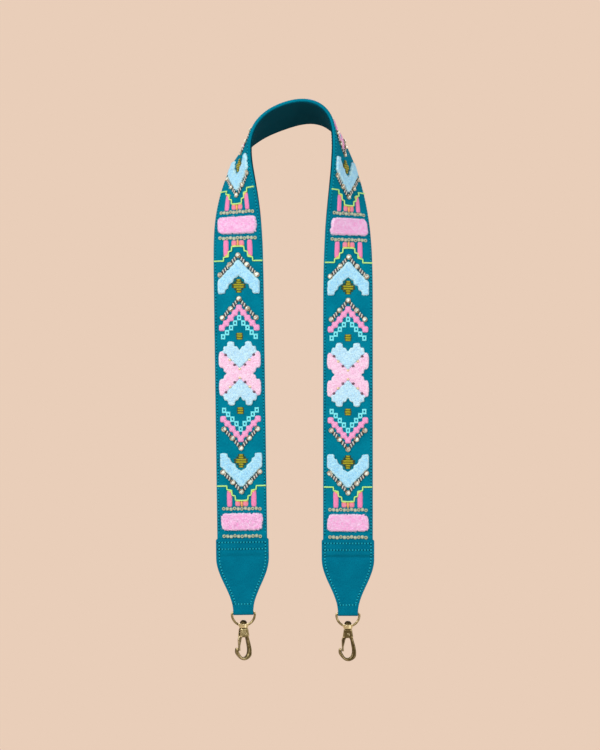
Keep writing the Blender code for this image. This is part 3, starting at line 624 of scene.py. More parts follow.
def paint_faces(part, kind):
    """Gives all of a part's faces one place in the list of materials."""
    for polygon in part.data.polygons:
        polygon.material_index = kind
    return part


def pile_yarn(name, deep, pale, fibre_scale=260.0):
    """Tufted wool: each tuft a little lighter or darker, fine fibres, a soft sheen and a painted highlight at
    the pile's edge.
    """
    material, tree = new_shader(name)
    plan = add_node(tree, "UVMap")["UV"]
    tuft = add_node(tree, "TexVoronoi", {"Vector": plan, "Scale": 75.0})["Distance"]
    fibre = speckle(tree, plan, fibre_scale, 4.0, 0.8)
    patch = speckle(tree, plan, 22.0, 3.0)
    rim = add_node(tree, "Attribute", attribute_name="rim")["Fac"]
    tone = reckon(tree, "ADD", reckon(tree, "MULTIPLY_ADD", tuft, -0.7, fibre), patch)
    # Painted highlight: the pile is made paler where the rim share is high, along its edge and at the
    # strands' tips.
    tone = reckon(tree, "MULTIPLY_ADD", rim, 0.45, tone)
    colour = mix_colours(tree, spread(tree, tone, 0.35, 1.1), deep, pale)
    relief = reckon(tree, "MULTIPLY_ADD", tuft, -0.8, fibre)
    add_principled(tree, Base_Color=colour, Roughness=0.95, Normal=bump(tree, relief, 0.7, 0.0004),
                   Sheen_Weight=0.25, Sheen_Roughness=0.5, Specular_IOR_Level=0.1)
    return material


def block_seam(places):
    """The groove between the arms' pile and the lobes' pile."""
    off = np.abs(places[:, 1]) - seam_start - seam_slope * np.abs(places[:, 0])
    return seam_depth * np.exp(-(off / sqrt(1 + seam_slope ** 2) / seam_width) ** 2)


def glossy_bead(name, dark, light, metallic, roughness):
    """A small bead of glass or plated metal, streaked a little."""
    material, tree = new_shader(name)
    cloud = speckle(tree, add_node(tree, "TexCoord")["Object"], 500.0, 3.0)
    add_principled(tree, Base_Color=mix_colours(tree, cloud, dark, light), Metallic=metallic,
                   Roughness=spread(tree, cloud, 0.0, 1.0, roughness, roughness * 1.8), Coat_Weight=0.3)
    return material


blue_pile = pile_yarn("pale_blue_pile", (0.44, 0.72, 0.95), (0.72, 0.96, 1.0))
blush_pile = pile_yarn("pale_pink_pile", (0.93, 0.53, 0.75), (1.0, 0.80, 0.93))
plum_glass = glossy_bead("plum_glass", (0.06, 0.02, 0.05), (0.22, 0.10, 0.16), 0.0, 0.15)
gilt = glossy_bead("gilt_beads", (0.62, 0.46, 0.26), (0.92, 0.80, 0.58), 0.5, 0.25)

beads = []
for kind, spots in enumerate((dark_beads, gold_beads)):
    for across, along in spots:
        for right in both_sides(across):
            for up in (1, -1):
                bpy.ops.mesh.primitive_uv_sphere_add(
                    segments=12, ring_count=8, radius=bead_size / 2,
                    location=(across * right, along * up, bead_level),
                )
                beads.append(paint_faces(settle(bead_shape), kind))
seam_beads = smooth(join_flat(beads, "seam_beads", [plum_glass, gilt]))

block_half = [(across, along / 2) for across, along in block_shares]
block_half += [(across, -along) for across, along in reversed(block_half) if along > 0]
block_outline = outline_of(block_half, motif_width, block_length)
for number, place in enumerate((-repeat_length, 0.0, repeat_length), start=1):
    block = tuft_patch(block_outline, block_ragged, short_pile, short_yarn, number * 7.3, number,
                       [blush_pile, blue_pile], block_seam)
    flat = np.abs(corners_of(block))
    for polygon in block.data.polygons:
        across, along, _ = flat[list(polygon.vertices)].mean(axis=0)
        polygon.material_index = int(along > seam_start + seam_slope * across)
    sew(block, f"cross_block_{number}", place, 1, f"x_motif_{number}")
    clear_away(block)
    sew(seam_beads, f"block_beads_{number}", place, 1)
clear_away(seam_beads)

# The blue chevrons. Six stepped arrowheads of the same cut pile point away from each cross block, a
# little thicker in the middle of each arm.
blue_chevron_place = 0.0793
blue_chevron_length = 0.0342
blue_chevron_shares = (
    (0.00, 0.540), (0.04, 0.500), (0.18, 0.450), (0.25, 0.420), (0.27, 0.325), (0.38, 0.300), (0.48, 0.255),
    (0.50, 0.165), (0.57, 0.140), (0.64, 0.105), (0.66, 0.000), (0.97, 0.000), (1.00, 0.060), (1.00, 0.390),
    (0.95, 0.430), (0.80, 0.500), (0.76, 0.555), (0.62, 0.610), (0.56, 0.680), (0.43, 0.730), (0.38, 0.800),
    (0.24, 0.850), (0.18, 0.930), (0.06, 0.990),
)
blue_ragged = 0.00085


def half_repeats():
    """Each half of the three repeats: its name, its number, its block's place and which way it points."""
    for number, place in enumerate((-repeat_length, 0.0, repeat_length), start=1):
        for side, flip in (("lower", -1), ("upper", 1)):
            yield f"{number}_{side}", number, place, flip


sky_pile = pile_yarn("sky_blue_pile", (0.31, 0.67, 0.95), (0.60, 0.93, 1.0))
blue_outline = outline_of(blue_chevron_shares, motif_width, blue_chevron_length)
for half_name, number, place, flip in half_repeats():
    chevron = tuft_patch(blue_outline, blue_ragged, short_pile, short_yarn, number * 5.1 + flip,
                         number * 2 + int(flip > 0), [sky_pile])
    sew(chevron, f"pile_chevron_{half_name}", place + flip * blue_chevron_place, flip,
        f"blue_chevron_{half_name}")
    clear_away(chevron)

# The pink bars. Four bars of long shaggy pile lie across the band, one at each end and between the
# repeats, and the pile spills over in a few places along the bar's edges.
bar_length = 0.0174
bar_count = 4
bar_shares = (
    (0.00, -0.50), (0.60, -0.51), (0.84, -0.49), (0.96, -0.34), (0.99, 0.00), (1.00, 0.28), (0.96, 0.42),
    (0.84, 0.50), (0.50, 0.50), (0.00, 0.50),
)
bar_ragged = 0.0017
long_pile = {"rise": 0.0036, "shoulder": 0.0022, "tuft": 0.0010, "tuft_depth": 0.0008}
long_yarn = {"per_area": 2.4e6, "length": 0.0013}
rose_pile = pile_yarn("rose_pile", (0.99, 0.42, 0.77), (1.0, 0.80, 0.98), 320.0)
bar_outline = outline_of(bar_shares, motif_width, bar_length)
for number in range(bar_count):
    bar = tuft_patch(bar_outline, bar_ragged, long_pile, long_yarn, number * 3.7 + 0.9, number + 20,
                     [rose_pile])
    sew(bar, f"pile_bar_{number + 1}", (number - (bar_count - 1) / 2) * repeat_length, 1,
        f"pink_bar_{number + 1}")
    clear_away(bar)

# The pink chevrons. Each is a chain of nine small pads of satin stitch with narrower joints between them.
# Inside it lie a chain of open squares in pale blue thread and an olive spot, and an olive cross lies
# beyond it. The olive rows have their low sides painted darker as shade, and lie over a ground of dark
# moss-green thread that also stands in for the shadow around them.
pink_links = ((0.0, 0.0655), (0.0043, 0.0605), (0.0084, 0.0553), (0.0131, 0.0501), (0.0173, 0.0455))
pink_size = (0.0062, 0.0064)
pink_joint = (0.0036, 0.0038)
pink_rise = 0.0017
joint_rise = pink_rise * 0.85
blue_squares = ((0.0, 0.0556), (0.0041, 0.0502), (0.0082, 0.0456), (0.0123, 0.0408), (0.0163, 0.0367))
square_size = (0.0043, 0.0050)
thread_width = 0.00138
thread_share = 0.62
square_level = thread_width * 0.25
square_height = thread_width / 2.4
square_ease = thread_width * 0.3
cushion_draw = 0.55
crown_power = 4
olive_pitch = 0.0023
olive_rise = 0.0013
painted_shade_share = 0.6
ground_rise = 0.0007
spot_place = 0.0371
spot_rows = (0.0063, 0.0070, 0.0064)
spot_ground = (0.0074, 0.0082, 0.0076)
cross_place = 0.0873
cross_rows = (0.0046, 0.0058, 0.0128, 0.0134, 0.0058, 0.0046)
cross_ground = (0.0070, 0.0108, 0.0160, 0.0160, 0.0108, 0.0070)
fine_pitch = 0.0003


def satin(name, deep, pale, pitch=0.00038, axis="Y"):
    """Satin stitch: close parallel threads with a soft shine."""
    material, tree = new_shader(name)
    plan = add_node(tree, "UVMap")["UV"]
    drift = speckle(tree, plan, 60.0, 2.0)
    parts = add_node(tree, "SeparateXYZ", {"Vector": plan})
    turns = reckon(tree, "MULTIPLY", parts[axis], 2 * pi / (pitch * map_scale))
    thread = reckon(tree, "SINE", reckon(tree, "MULTIPLY_ADD", drift, 5.0, turns))
    tone = spread(tree, reckon(tree, "MULTIPLY_ADD", thread, 0.25, drift), 0.1, 0.85)
    add_principled(tree, Base_Color=mix_colours(tree, tone, deep, pale), Roughness=0.55,
                   Normal=bump(tree, thread, 0.6, 0.0001), Sheen_Weight=0.1, Specular_IOR_Level=0.2)
    return material


def add_cushion(size, place, rise, corner, cuts=6):
    """A small pad of stitches: a grid drawn in at its corners, crowned on top and flat below."""
    bpy.ops.mesh.primitive_grid_add(x_subdivisions=cuts, y_subdivisions=cuts, size=1)
    cushion = bpy.context.object
    flat = corners_of(cushion) * 2
    flat[:, :2] *= 1 - corner + corner * np.sqrt(np.clip(1 - flat[:, [1, 0]] ** 2 * cushion_draw, 0, 1))
    lift = np.sqrt(np.clip(1 - np.abs(flat[:, :2]).max(axis=1) ** crown_power, 0, 1))
    set_corners(cushion, flat * (size[0] / 2, size[1] / 2, 1))
    lay_map(cushion)
    thicken(cushion, pad_sink)
    raised = corners_of(cushion)
    top = raised[:, 2] > -pad_sink / 2
    raised[top, 2] += lift[:top.sum()] * rise - pad_sink
    raised[~top, 2] -= pad_sink
    set_corners(cushion, raised + (*place, 0))
    return cushion


def add_open_square(across, along):
    """A small square of couched thread with its middle left open."""
    bpy.ops.mesh.primitive_torus_add(
        major_segments=4, minor_segments=8, major_radius=1, minor_radius=thread_share,
        rotation=(0, 0, radians(45)),
    )
    ring = settle()
    ring.location = (across, along, square_level)
    width, length = ((size - thread_width) / 2 / sqrt(0.5) for size in square_size)
    settle((width, length, square_height))
    finish_with(ring, "BEVEL", width=square_ease, segments=2, angle_limit=radians(60))
    lay_map(ring)
    return ring


def sew_halves(rows):
    """Sews each row's pattern on every half repeat."""
    for half_name, _, place, flip in half_repeats():
        for pattern, name, shift, slot, node in rows:
            sew(pattern, f"{name}_{half_name}", place + flip * shift, flip,
                node and f"{node}_{half_name}")


pink_satin = satin("pink_satin", (1.0, 0.29, 0.58), (1.0, 0.51, 0.81))
sky_thread = satin("sky_thread", (0.14, 0.86, 1.0), (0.30, 0.98, 1.0), fine_pitch)
olive_thread = satin("olive_thread", (0.27, 0.23, 0.002), (0.50, 0.49, 0.02), fine_pitch, "X")
# The darker olive is painted shade for the valleys between the olive rows.
painted_olive_shade = satin("painted_olive_shade", (0.045, 0.060, 0.004), (0.22, 0.14, 0.001), fine_pitch, "X")
# The moss green is thread, and it also stands in for the shadow around the olive rows.
moss_thread_and_shadow = satin("moss_thread_and_shadow", (0.010, 0.050, 0.030), (0.030, 0.110, 0.040), fine_pitch, "X")

links = [add_cushion(pink_size, (across * sign, along), pink_rise, 0.55)
         for across, along in pink_links for sign in both_sides(across)]
links += [add_cushion(pink_joint, ((ax + bx) / 2 * sign, (ay + by) / 2), joint_rise, 0.4, 4)
          for (ax, ay), (bx, by) in zip(pink_links, pink_links[1:]) for sign in (1, -1)]
pink_chain = smooth(join_flat(links, "pink_chain", [pink_satin]))
open_squares = [add_open_square(across * sign, along)
                for across, along in blue_squares for sign in both_sides(across)]
blue_chain = smooth(join_flat(open_squares, "blue_chain", [sky_thread]))

stitches = []
for place, rows, rise in ((spot_place, spot_rows, olive_rise), (cross_place, cross_rows, olive_rise),
                          (spot_place, spot_ground, ground_rise), (cross_place, cross_ground, ground_rise)):
    for row, length in enumerate(rows):
        along = place + (row - (len(rows) - 1) / 2) * olive_pitch
        ridge = add_cushion((length, olive_pitch), (0, along), rise, 0.5, 8)
        for polygon in ridge.data.polygons:
            # Faces low on each olive row take the darker olive, as painted shade between the rows.
            shaded = polygon.center.z < rise * painted_shade_share
            polygon.material_index = 2 if rise == ground_rise else int(shaded)
        stitches.append(ridge)
olive_stitches = smooth(join_flat(stitches, "olive_stitches", [olive_thread, painted_olive_shade, moss_thread_and_shadow]))
sew_halves([
    (pink_chain, "satin_chevron", 0.0, "hot_pink_yarn", "pink_chevron"),
    (blue_chain, "open_squares", 0.0, "pale_blue_yarn", None),
    (olive_stitches, "olive_stitches", 0.0, "olive_thread", None),
])
clear_away(pink_chain, blue_chain, olive_stitches)

# The bead rows. Each chevron has a row of five cut stones in gilt cups along its outer edge, with glass
# bugles set side by side between them, dark, cream and plum, every one sewn down through the cloth.
stone_size = 0.0050
stone_rise = 0.0026
gem_foot = stone_size * 0.48
gem_table = stone_size * 0.28
gem_height = stone_rise * 0.5
gem_level = stone_rise * 0.72
gem_ease = stone_size * 0.06
cup_foot = stone_size * 0.40
cup_mouth = stone_size * 0.5
cup_height = stone_rise * 0.55
cup_level = stone_rise * 0.22
cup_wall = stone_size * 0.05
cup_hollow = stone_rise * 0.2
claw_reach = stone_size * 0.44
claw_size = stone_size * 0.085
claw_shape = (1.0, 1.0, 1.9)
claw_level = stone_rise * 0.62
bugle_length = 0.0037
bugle_width = 0.0013
bugle_level = bugle_width * 0.45
bugle_ease = bugle_width * 0.2
bugle_pitch = 0.00155
bugle_lean = 0.4
bugle_kinds = (3, 2, 4, 2)
shade_facet_kind = 5
shaded_side = (0.8, -0.6)
shaded_share = 0.45
blue_stones = ((0.0, 0.1179), (0.0086, 0.1085), (0.0184, 0.0983))
pink_stones = ((0.0, 0.0745), (0.0085, 0.0645), (0.0168, 0.0555))


def pick_top(part):
    """Selects the faces of a part that look up, in edit mode."""
    bpy.ops.object.mode_set(mode="EDIT")
    bpy.ops.mesh.select_mode(type="FACE")
    bpy.ops.mesh.select_all(action="DESELECT")
    bpy.ops.object.mode_set(mode="OBJECT")
    for polygon in part.data.polygons:
        polygon.select = polygon.normal.z > 0.9
    bpy.ops.object.mode_set(mode="EDIT")


def add_stone(spot):
    """A cut stone in its cup: an eight-sided crown with one flank painted dark as shade, a rim, and four bent
    claws.
    """
    bpy.ops.mesh.primitive_cone_add(
        vertices=8, radius1=gem_foot, radius2=gem_table, depth=gem_height,
        location=(*spot, gem_level), rotation=(0, 0, radians(22.5)),
    )
    gem = settle()
    finish_with(gem, "BEVEL", width=gem_ease, segments=1)
    # The facets that face one side are painted dark brown as shade.
    for polygon in gem.data.polygons:
        across, along, _ = polygon.normal
        facing = across * shaded_side[0] + along * shaded_side[1]
        polygon.material_index = shade_facet_kind if facing > shaded_share else 0
    bpy.ops.mesh.primitive_cone_add(
        vertices=16, radius1=cup_foot, radius2=cup_mouth, depth=cup_height, location=(*spot, cup_level),
    )
    cup = settle()
    pick_top(cup)
    bpy.ops.mesh.inset(thickness=cup_wall)
    bpy.ops.mesh.extrude_region_move(TRANSFORM_OT_translate={"value": (0, 0, -cup_hollow)})
    bpy.ops.object.mode_set(mode="OBJECT")
    parts = [gem, paint_faces(cup, 1)]
    for quarter in range(4):
        turn = pi / 2 * quarter + pi / 4
        bpy.ops.mesh.primitive_uv_sphere_add(
            segments=6, ring_count=5, radius=claw_size,
            location=(spot[0] + claw_reach * cos(turn), spot[1] + claw_reach * sin(turn), claw_level),
        )
        parts.append(paint_faces(settle(claw_shape), 1))
    return parts


def add_bugle(spot, turn, kind):
    """A short glass tube laid across the row, with its two ends eased."""
    bpy.ops.mesh.primitive_cylinder_add(
        vertices=8, radius=bugle_width / 2, depth=bugle_length, location=(*spot, bugle_level),
        rotation=(radians(90), 0, turn),
    )
    bugle = settle()
    finish_with(bugle, "BEVEL", width=bugle_ease, segments=1, angle_limit=radians(60))
    return smooth(paint_faces(bugle, kind))


def add_bead_row(name, stones):
    """A whole row: five stones, and between each pair dark, cream, plum and cream bugles by turns."""
    line = [Vector((-across, along)) for across, along in stones[:0:-1]] + [Vector(stone) for stone in stones]
    parts = [part for spot in line for part in add_stone(spot)]
    for first, second in zip(line, line[1:]):
        run = second - first
        turn = run.angle_signed(Vector((1, 0))) * bugle_lean
        free = run.length - stone_size
        count = round(free / bugle_pitch)
        for index in range(count):
            spot = first + run.normalized() * (stone_size / 2 + free * (index + 0.5) / count)
            parts.append(add_bugle(spot, turn, bugle_kinds[index % len(bugle_kinds)]))
    return join_flat(parts, name, [cream_crystal, gilt, cream_bugle, gunmetal, mauve_bugle, painted_shade_facet])


def crystal(name):
    """Cream crystal: pale, glassy, with a warm cloud inside."""
    material, tree = new_shader(name)
    cloud = speckle(tree, add_node(tree, "TexCoord")["Object"], 330.0, 2.0)
    colour = mix_colours(tree, spread(tree, cloud, 0.38, 0.58), (0.38, 0.33, 0.25), (0.92, 0.98, 0.88))
    add_principled(tree, Base_Color=colour, Roughness=0.06, Specular_IOR_Level=0.8, Coat_Weight=1.0,
                   Coat_Roughness=0.03)
    return material


cream_crystal = crystal("cream_crystal")
gunmetal = glossy_bead("gunmetal_bugle", (0.006, 0.007, 0.010), (0.045, 0.045, 0.055), 0.0, 0.25)
cream_bugle = glossy_bead("cream_bugle", (0.48, 0.48, 0.40), (0.84, 0.86, 0.78), 0.0, 0.25)
mauve_bugle = glossy_bead("mauve_bugle", (0.030, 0.012, 0.022), (0.14, 0.08, 0.11), 0.0, 0.25)
# Dark brown for the painted shade on one side of each stone.
painted_shade_facet = glossy_bead("painted_shade_facet", (0.05, 0.035, 0.025), (0.30, 0.22, 0.15), 0.0, 0.10)
blue_row = add_bead_row("blue_row", blue_stones)
pink_row = add_bead_row("pink_row", pink_stones)
sew_halves([
    (blue_row, "blue_stones", 0.0, "gold_beads", "blue_bead_row"),
    (pink_row, "pink_stones", 0.0, "gold_beads", "pink_bead_row"),
])
clear_away(blue_row, pink_row)

# The column groups. Two tall and two short columns of satin stitch, tipped with amber, stand on a row of
# round sequins. A yellow-green cord runs from edge to edge of the band, stepping down over their tops.
tall_column = (0.0121, 0.1163, 0.1333)
short_column = (0.0038, 0.1264, 0.1328)
column_width = 0.0054
column_rise = 0.0015
column_ragged = 0.00012
column_round = 0.3
column_pad = {"rise": column_rise, "shoulder": column_width / 2, "tuft": 0.0012, "tuft_depth": 0.0}
column_pitch = 0.0004
amber_caps = ((0.0114, 0.1178, 0.0046, 0.0032), (0.0038, 0.1274, 0.0048, 0.0022),
              (0.0, 0.1302, 0.0022, 0.0066))
amber_rise = column_rise * 1.12
cord_width = 0.0014
cord_lift = 0.0010
cord_rest = cord_width * 0.4
cord_step = 0.0012
cord_corners = ((0.0243, 0.1122), (0.0147, 0.1122), (0.0145, 0.1158), (0.0100, 0.1165), (0.0095, 0.1214),
                (0.0065, 0.1222), (0.0061, 0.1264), (0.0012, 0.1268))
sequin_size = 0.0035
sequin_depth = 0.0005
sequin_level = 0.0006
seed_size = sequin_size * 0.34
seed_level = 0.0010
sequin_rings = ((0.10, 0.00025), (0.12, 0.0), (0.12, -0.0003))
sequin_pitch = 0.0036
sequin_count = 11
sequin_waver = 0.0004
waver_turn = 2.3
sequin_place = 0.1350
seed_kinds = (2, 1, 2, 1, 1)
end_row_place = (bar_count - 1) / 2 * repeat_length + 0.0144


def add_column(place, bottom, top):
    """A bar of satin stitch with a round back and rounded ends."""
    cut = column_round * column_width / (top - bottom)
    shares = ((0.0, 0.0), (0.7, 0.0), (1.0, cut), (1.0, 1 - cut), (0.7, 1.0), (0.0, 1.0))
    outline = outline_of(shares, column_width, top - bottom)
    column = cut_out(outline, column_ragged, place * 900)
    raise_pile(column, outline, **column_pad, seed=place * 900)
    set_corners(column, corners_of(column) + (place, bottom, 0))
    return column


def add_sequin(spot, kind):
    """A small cupped sequin with a hole, and the seed bead that holds it."""
    bpy.ops.mesh.primitive_cylinder_add(
        vertices=16, radius=sequin_size / 2, depth=sequin_depth, location=(*spot, sequin_level),
    )
    sequin = settle()
    pick_top(sequin)
    for inset, drop in sequin_rings:
        bpy.ops.mesh.inset(thickness=sequin_size * inset)
        bpy.ops.transform.translate(value=(0, 0, drop))
    bpy.ops.object.mode_set(mode="OBJECT")
    bpy.ops.mesh.primitive_uv_sphere_add(
        segments=8, ring_count=6, radius=seed_size / 2, location=(*spot, seed_level),
    )
    return [sequin, paint_faces(settle(), kind)]


def add_stepped_cord(name):
    """The cord's whole run across the band, raised where it climbs over the columns."""
    curve = bpy.data.curves.new(name, "CURVE")
    curve.dimensions = "3D"
    curve.bevel_depth = cord_width / 2
    curve.bevel_resolution = 2
    curve.use_fill_caps = True
    corners = [(-across, along) for across, along in cord_corners] + list(cord_corners)[::-1]
    points = []
    for (ax, ay), (bx, by) in zip(corners, corners[1:]):
        pieces = max(1, round(sqrt((bx - ax) ** 2 + (by - ay) ** 2) / cord_step))
        points += [(ax + (bx - ax) * step / pieces, ay + (by - ay) * step / pieces) for step in range(pieces)]
    points.append(corners[-1])
    spline = curve.splines.new("POLY")
    spline.points.add(len(points) - 1)
    for point, (across, along) in zip(spline.points, points):
        level = cord_lift if abs(across) < cord_corners[1][0] else cord_rest
        point.co = (across, along, level, 1)
    cord = add_object(name, curve)
    pick(cord)
    bpy.ops.object.convert(target="MESH")
    lay_map(cord)
    return smooth(cord)


rose_satin = satin("rose_satin", (0.94, 0.19, 0.44), (1.0, 0.34, 0.62), column_pitch)
salmon_satin = satin("salmon_satin", (0.92, 0.19, 0.32), (1.0, 0.38, 0.48), column_pitch)
amber_satin = satin("amber_satin", (0.95, 0.34, 0.10), (0.98, 0.66, 0.20), column_pitch)
lime_cord = satin("lime_cord", (0.44, 0.94, 0.14), (0.68, 1.0, 0.40), 0.0005)
sequin_gold = glossy_bead("sequin_gold", (0.24, 0.27, 0.16), (0.62, 0.70, 0.50), 0.05, 0.25)

columns = [paint_faces(add_column(place * sign, bottom, top), kind)
           for kind, (place, bottom, top) in enumerate((tall_column, short_column)) for sign in (1, -1)]
columns += [paint_faces(add_cushion((width, length), (across * sign, along), amber_rise, 0.4, 4), 2)
            for across, along, width, length in amber_caps for sign in both_sides(across)]
column_pattern = smooth(join_flat(columns, "column_pattern", [rose_satin, salmon_satin, amber_satin]))
cord_pattern = add_stepped_cord("cord_pattern")
cord_pattern.data.materials.append(lime_cord)
sequins = []
for index in range(sequin_count):
    spot = ((index - (sequin_count - 1) / 2) * sequin_pitch, sequin_waver * cos(index * waver_turn))
    sequins += add_sequin(spot, seed_kinds[index % len(seed_kinds)])
sequin_pattern = smooth(join_flat(sequins, "sequin_pattern", [sequin_gold, cream_bugle, gunmetal]))
sew_halves([
    (column_pattern, "satin_columns", 0.0, "hot_pink_yarn", "column_group"),
    (cord_pattern, "stepped_cord", 0.0, "lime_thread", None),
    (sequin_pattern, "sequin_row", sequin_place, "gold_beads", None),
])
for side, sign in (("left", -1), ("right", 1)):
    sew(sequin_pattern, f"end_sequins_{side}", sign * end_row_place, sign, f"end_chain_{side}")
clear_away(column_pattern, cord_pattern, sequin_pattern)

# The edge stitches. A row of lockstitch in teal thread holds the layers together 1.9 mm inside each edge,
# on the face and on the underside. The underside row is painted in darker thread as shade, and a dark
# spot painted between each two stitches stands for the shade of the needle hole.
stitch_inset = 0.0019
stitch_length = 0.0021
stitch_width = 0.0010
stitch_lift = 0.00005
stitch_flatness = 0.8
hole_width = 0.0013
hole_depth = hole_width * 0.3
plain_ends = 12


def add_stitches(name, spots, level, thread, width):
    """A row of stitches through flat spots, each with its direction, and a dark spot painted between each two
    as the shade of a needle hole.
    """
    bpy.ops.mesh.primitive_uv_sphere_add(segments=6, ring_count=6, radius=0.5)
    ball = bpy.context.object
    unit = corners_of(ball)
    ball_faces = [tuple(polygon.vertices) for polygon in ball.data.polygons]
    clear_away(ball)
    shapes = (
        (0, (width, stitch_length, width * stitch_flatness), 0.0),
        (1, (hole_width, hole_width, hole_depth), stitch_pitch / 2),
    )
    corners, faces, kinds = [], [], []
    for place, turn in spots:
        axes = np.array([[cos(turn), sin(turn), 0], [-sin(turn), cos(turn), 0], [0, 0, 1]])
        for kind, size, offset in shapes:
            start = len(corners) * len(unit)
            corners.append((unit * size + (0, offset, 0)) @ axes + (*place, level))
            faces += [tuple(corner + start for corner in face) for face in ball_faces]
            kinds += [kind] * len(ball_faces)
    mesh = bpy.data.meshes.new(name)
    mesh.from_pydata(np.concatenate(corners).tolist(), [], faces)
    for material in (thread, painted_hole_shade):
        mesh.materials.append(material)
    mesh.polygons.foreach_set("material_index", kinds)
    row = add_object(name, mesh)
    lay_map(row)
    return smooth(row)


teal_thread = canvas("teal_thread", (0.004, 0.28, 0.38), (0.03, 0.50, 0.62))
# The underside row is painted in darker thread as shade.
shadow_thread = canvas("shadow_thread", (0.0008, 0.045, 0.070), (0.002, 0.080, 0.110))
# A dark spot painted as the shade of each needle hole.
painted_hole_shade = canvas("painted_hole_shade", (0.0002, 0.030, 0.050), (0.001, 0.055, 0.085))
stitch_count = int(2 * band_end / stitch_pitch) - plain_ends
spots = [((sign * (band_width / 2 - stitch_inset), (index - (stitch_count - 1) / 2) * stitch_pitch), 0.0)
         for sign in (1, -1) for index in range(stitch_count)]
for name, level, thread in (("edge_stitches_face", stitch_lift, teal_thread),
                            ("edge_stitches_back", -band_thickness - stitch_lift, shadow_thread)):
    row = add_stitches("stitches", spots, level, thread, stitch_width)
    sew(row, name, 0.0, 1)
    clear_away(row)

# The tabs. One piece of teal cloth at each end is folded round the bar of the ring, and its two leaves
# hold the band's end between them, with a crease below it. Two rows of stitches cross each tab near its
# top and one near the fold, and a row follows each edge. A fibre board keeps it flat below the band.
tab_width = 0.0526
tab_neck = 0.0200
tab_top = 0.0738
tab_leaf = 0.0011
tab_corner = 0.0014
tab_edge = 0.00025
taper_top = tab_top - 0.0185
taper_bottom = 0.0003
fold_radius = 0.00206
leaf_spread = 0.00300
pocket_top = 0.0600
pocket_bottom = 0.0562
crease_level = 0.0562
crease_depths = {"left": 0.0002, "right": 0.0011}
crease_width = 0.0020
bar_level = tab_top - 0.014
tab_columns = 44
tab_row = 0.0010
fold_steps = 10
row_levels = (tab_top - 0.0034, tab_top - 0.0101, 0.0087)
side_inset = 0.0033
tab_stitch_width = 0.0016
tab_stitch_lift = 0.0001
lean_step = 0.0005
puff_top = tab_top - 0.013
puff_edge = 0.004
puff_ease = 0.01
puff_height = 0.00035
pull_in = 0.0002
pull_in_width = 0.0009
slack_size = 0.014
slack_height = 0.00018
pleat_size = 0.0032
pleat_height = 0.00028
pleat_reach = 0.016
pleat_draw = 0.2


def eased_share(share):
    return (1 - np.cos(pi * np.clip(share, 0, 1))) / 2


def tab_half(level):
    """Half the tab's width at a level above the bar: wide, an S-shaped taper, then the neck."""
    share = eased_share((taper_top - level) / (taper_top - taper_bottom))
    corner = np.clip(level - tab_top + tab_corner, 0, tab_corner)
    round_off = tab_corner - np.sqrt(tab_corner ** 2 - corner ** 2)
    return tab_width / 2 - (tab_width - tab_neck) / 2 * share - round_off


def leaf_reach(level, side):
    """How far a leaf stands off the band's middle, with a crease between the band's end and the board."""
    pocket = eased_share((level - pocket_bottom) / (pocket_top - pocket_bottom))
    crease = crease_depths[side] * np.exp(-((level - crease_level) / crease_width) ** 2)
    return fold_radius + (leaf_spread - fold_radius) * pocket - crease


def end_axes(side):
    """The axes and the origin of one end: X along the ring's bar, Y to the back, Z up the leg."""
    index, outward = (0, -1) if side == "left" else (-1, 1)
    down = path_frames[index][:, 0] * outward
    back = -path_frames[index][:, 2]
    return np.column_stack([np.cross(down, back), back, -down]), path_points[index] + down * bar_level


def set_at_end(piece, side, places):
    axes, origin = end_axes(side)
    set_corners(piece, places @ axes.T + origin)


def tab_profile(side):
    """The tab's section from its front leaf round the fold to its back leaf, and its run along the cloth."""
    levels = np.linspace(tab_top, 0, round(tab_top / tab_row) + 1)
    turns = np.linspace(0, pi, fold_steps + 1)[1:-1]
    profile = [(-leaf_reach(level, side), level) for level in levels]
    profile += [(-fold_radius * cos(turn), -fold_radius * sin(turn)) for turn in turns]
    profile += [(leaf_reach(level, side), level) for level in levels[::-1]]
    profile = np.array(profile)
    return profile, np.concatenate([[0], np.cumsum(np.hypot(*np.diff(profile, axis=0).T))])


def tab_puff(across, run, level):
    """How far the cloth stands out: full in its middle, pulled in at each row, with pleats at the neck."""
    edge = tab_half(np.maximum(level, 0)) - np.abs(across)
    puff = puff_height * np.clip(edge / puff_edge, 0, 1) * np.clip((puff_top - level) / puff_ease, 0, 1)
    for offset in (edge - side_inset, *(level - row for row in row_levels)):
        puff -= pull_in * np.exp(-(offset / pull_in_width) ** 2)
    puff += ripple(np.column_stack([across, run, across * 0]), slack_size, 2.7) * slack_height
    pleat = ripple(np.column_stack([across, run * pleat_draw, across * 0]), pleat_size, 6.1) * pleat_height
    return puff + pleat * np.clip(1 - np.abs(level - row_levels[2]) / pleat_reach, 0, 1)


def tab_spots():
    """The places and directions of a tab's stitches: three rows across it, and one along each side."""
    spots = []
    for level in row_levels:
        half = float(tab_half(level)) - side_inset
        count = round(2 * half / stitch_pitch)
        spots += [((2 * half * (index / count - 0.5), level), pi / 2) for index in range(count + 1)]
    for sign in (1, -1):
        level = row_levels[0] - stitch_pitch
        while level > row_levels[2]:
            lean = float(tab_half(level + lean_step) - tab_half(level - lean_step)) / (2 * lean_step)
            spots.append(((sign * (float(tab_half(level)) - side_inset), level), -sign * lean))
            level -= stitch_pitch / sqrt(1 + lean * lean)
    return spots


def fibreboard(name):
    """Pressed fibre: a matt brown with fine flecks."""
    material, tree = new_shader(name)
    grain = speckle(tree, add_node(tree, "TexCoord")["Object"], 900.0, 5.0)
    add_principled(tree, Base_Color=mix_colours(tree, grain, (0.13, 0.085, 0.05), (0.27, 0.19, 0.12)),
                   Roughness=0.9, Normal=bump(tree, grain, 0.4, 0.0002))
    return material


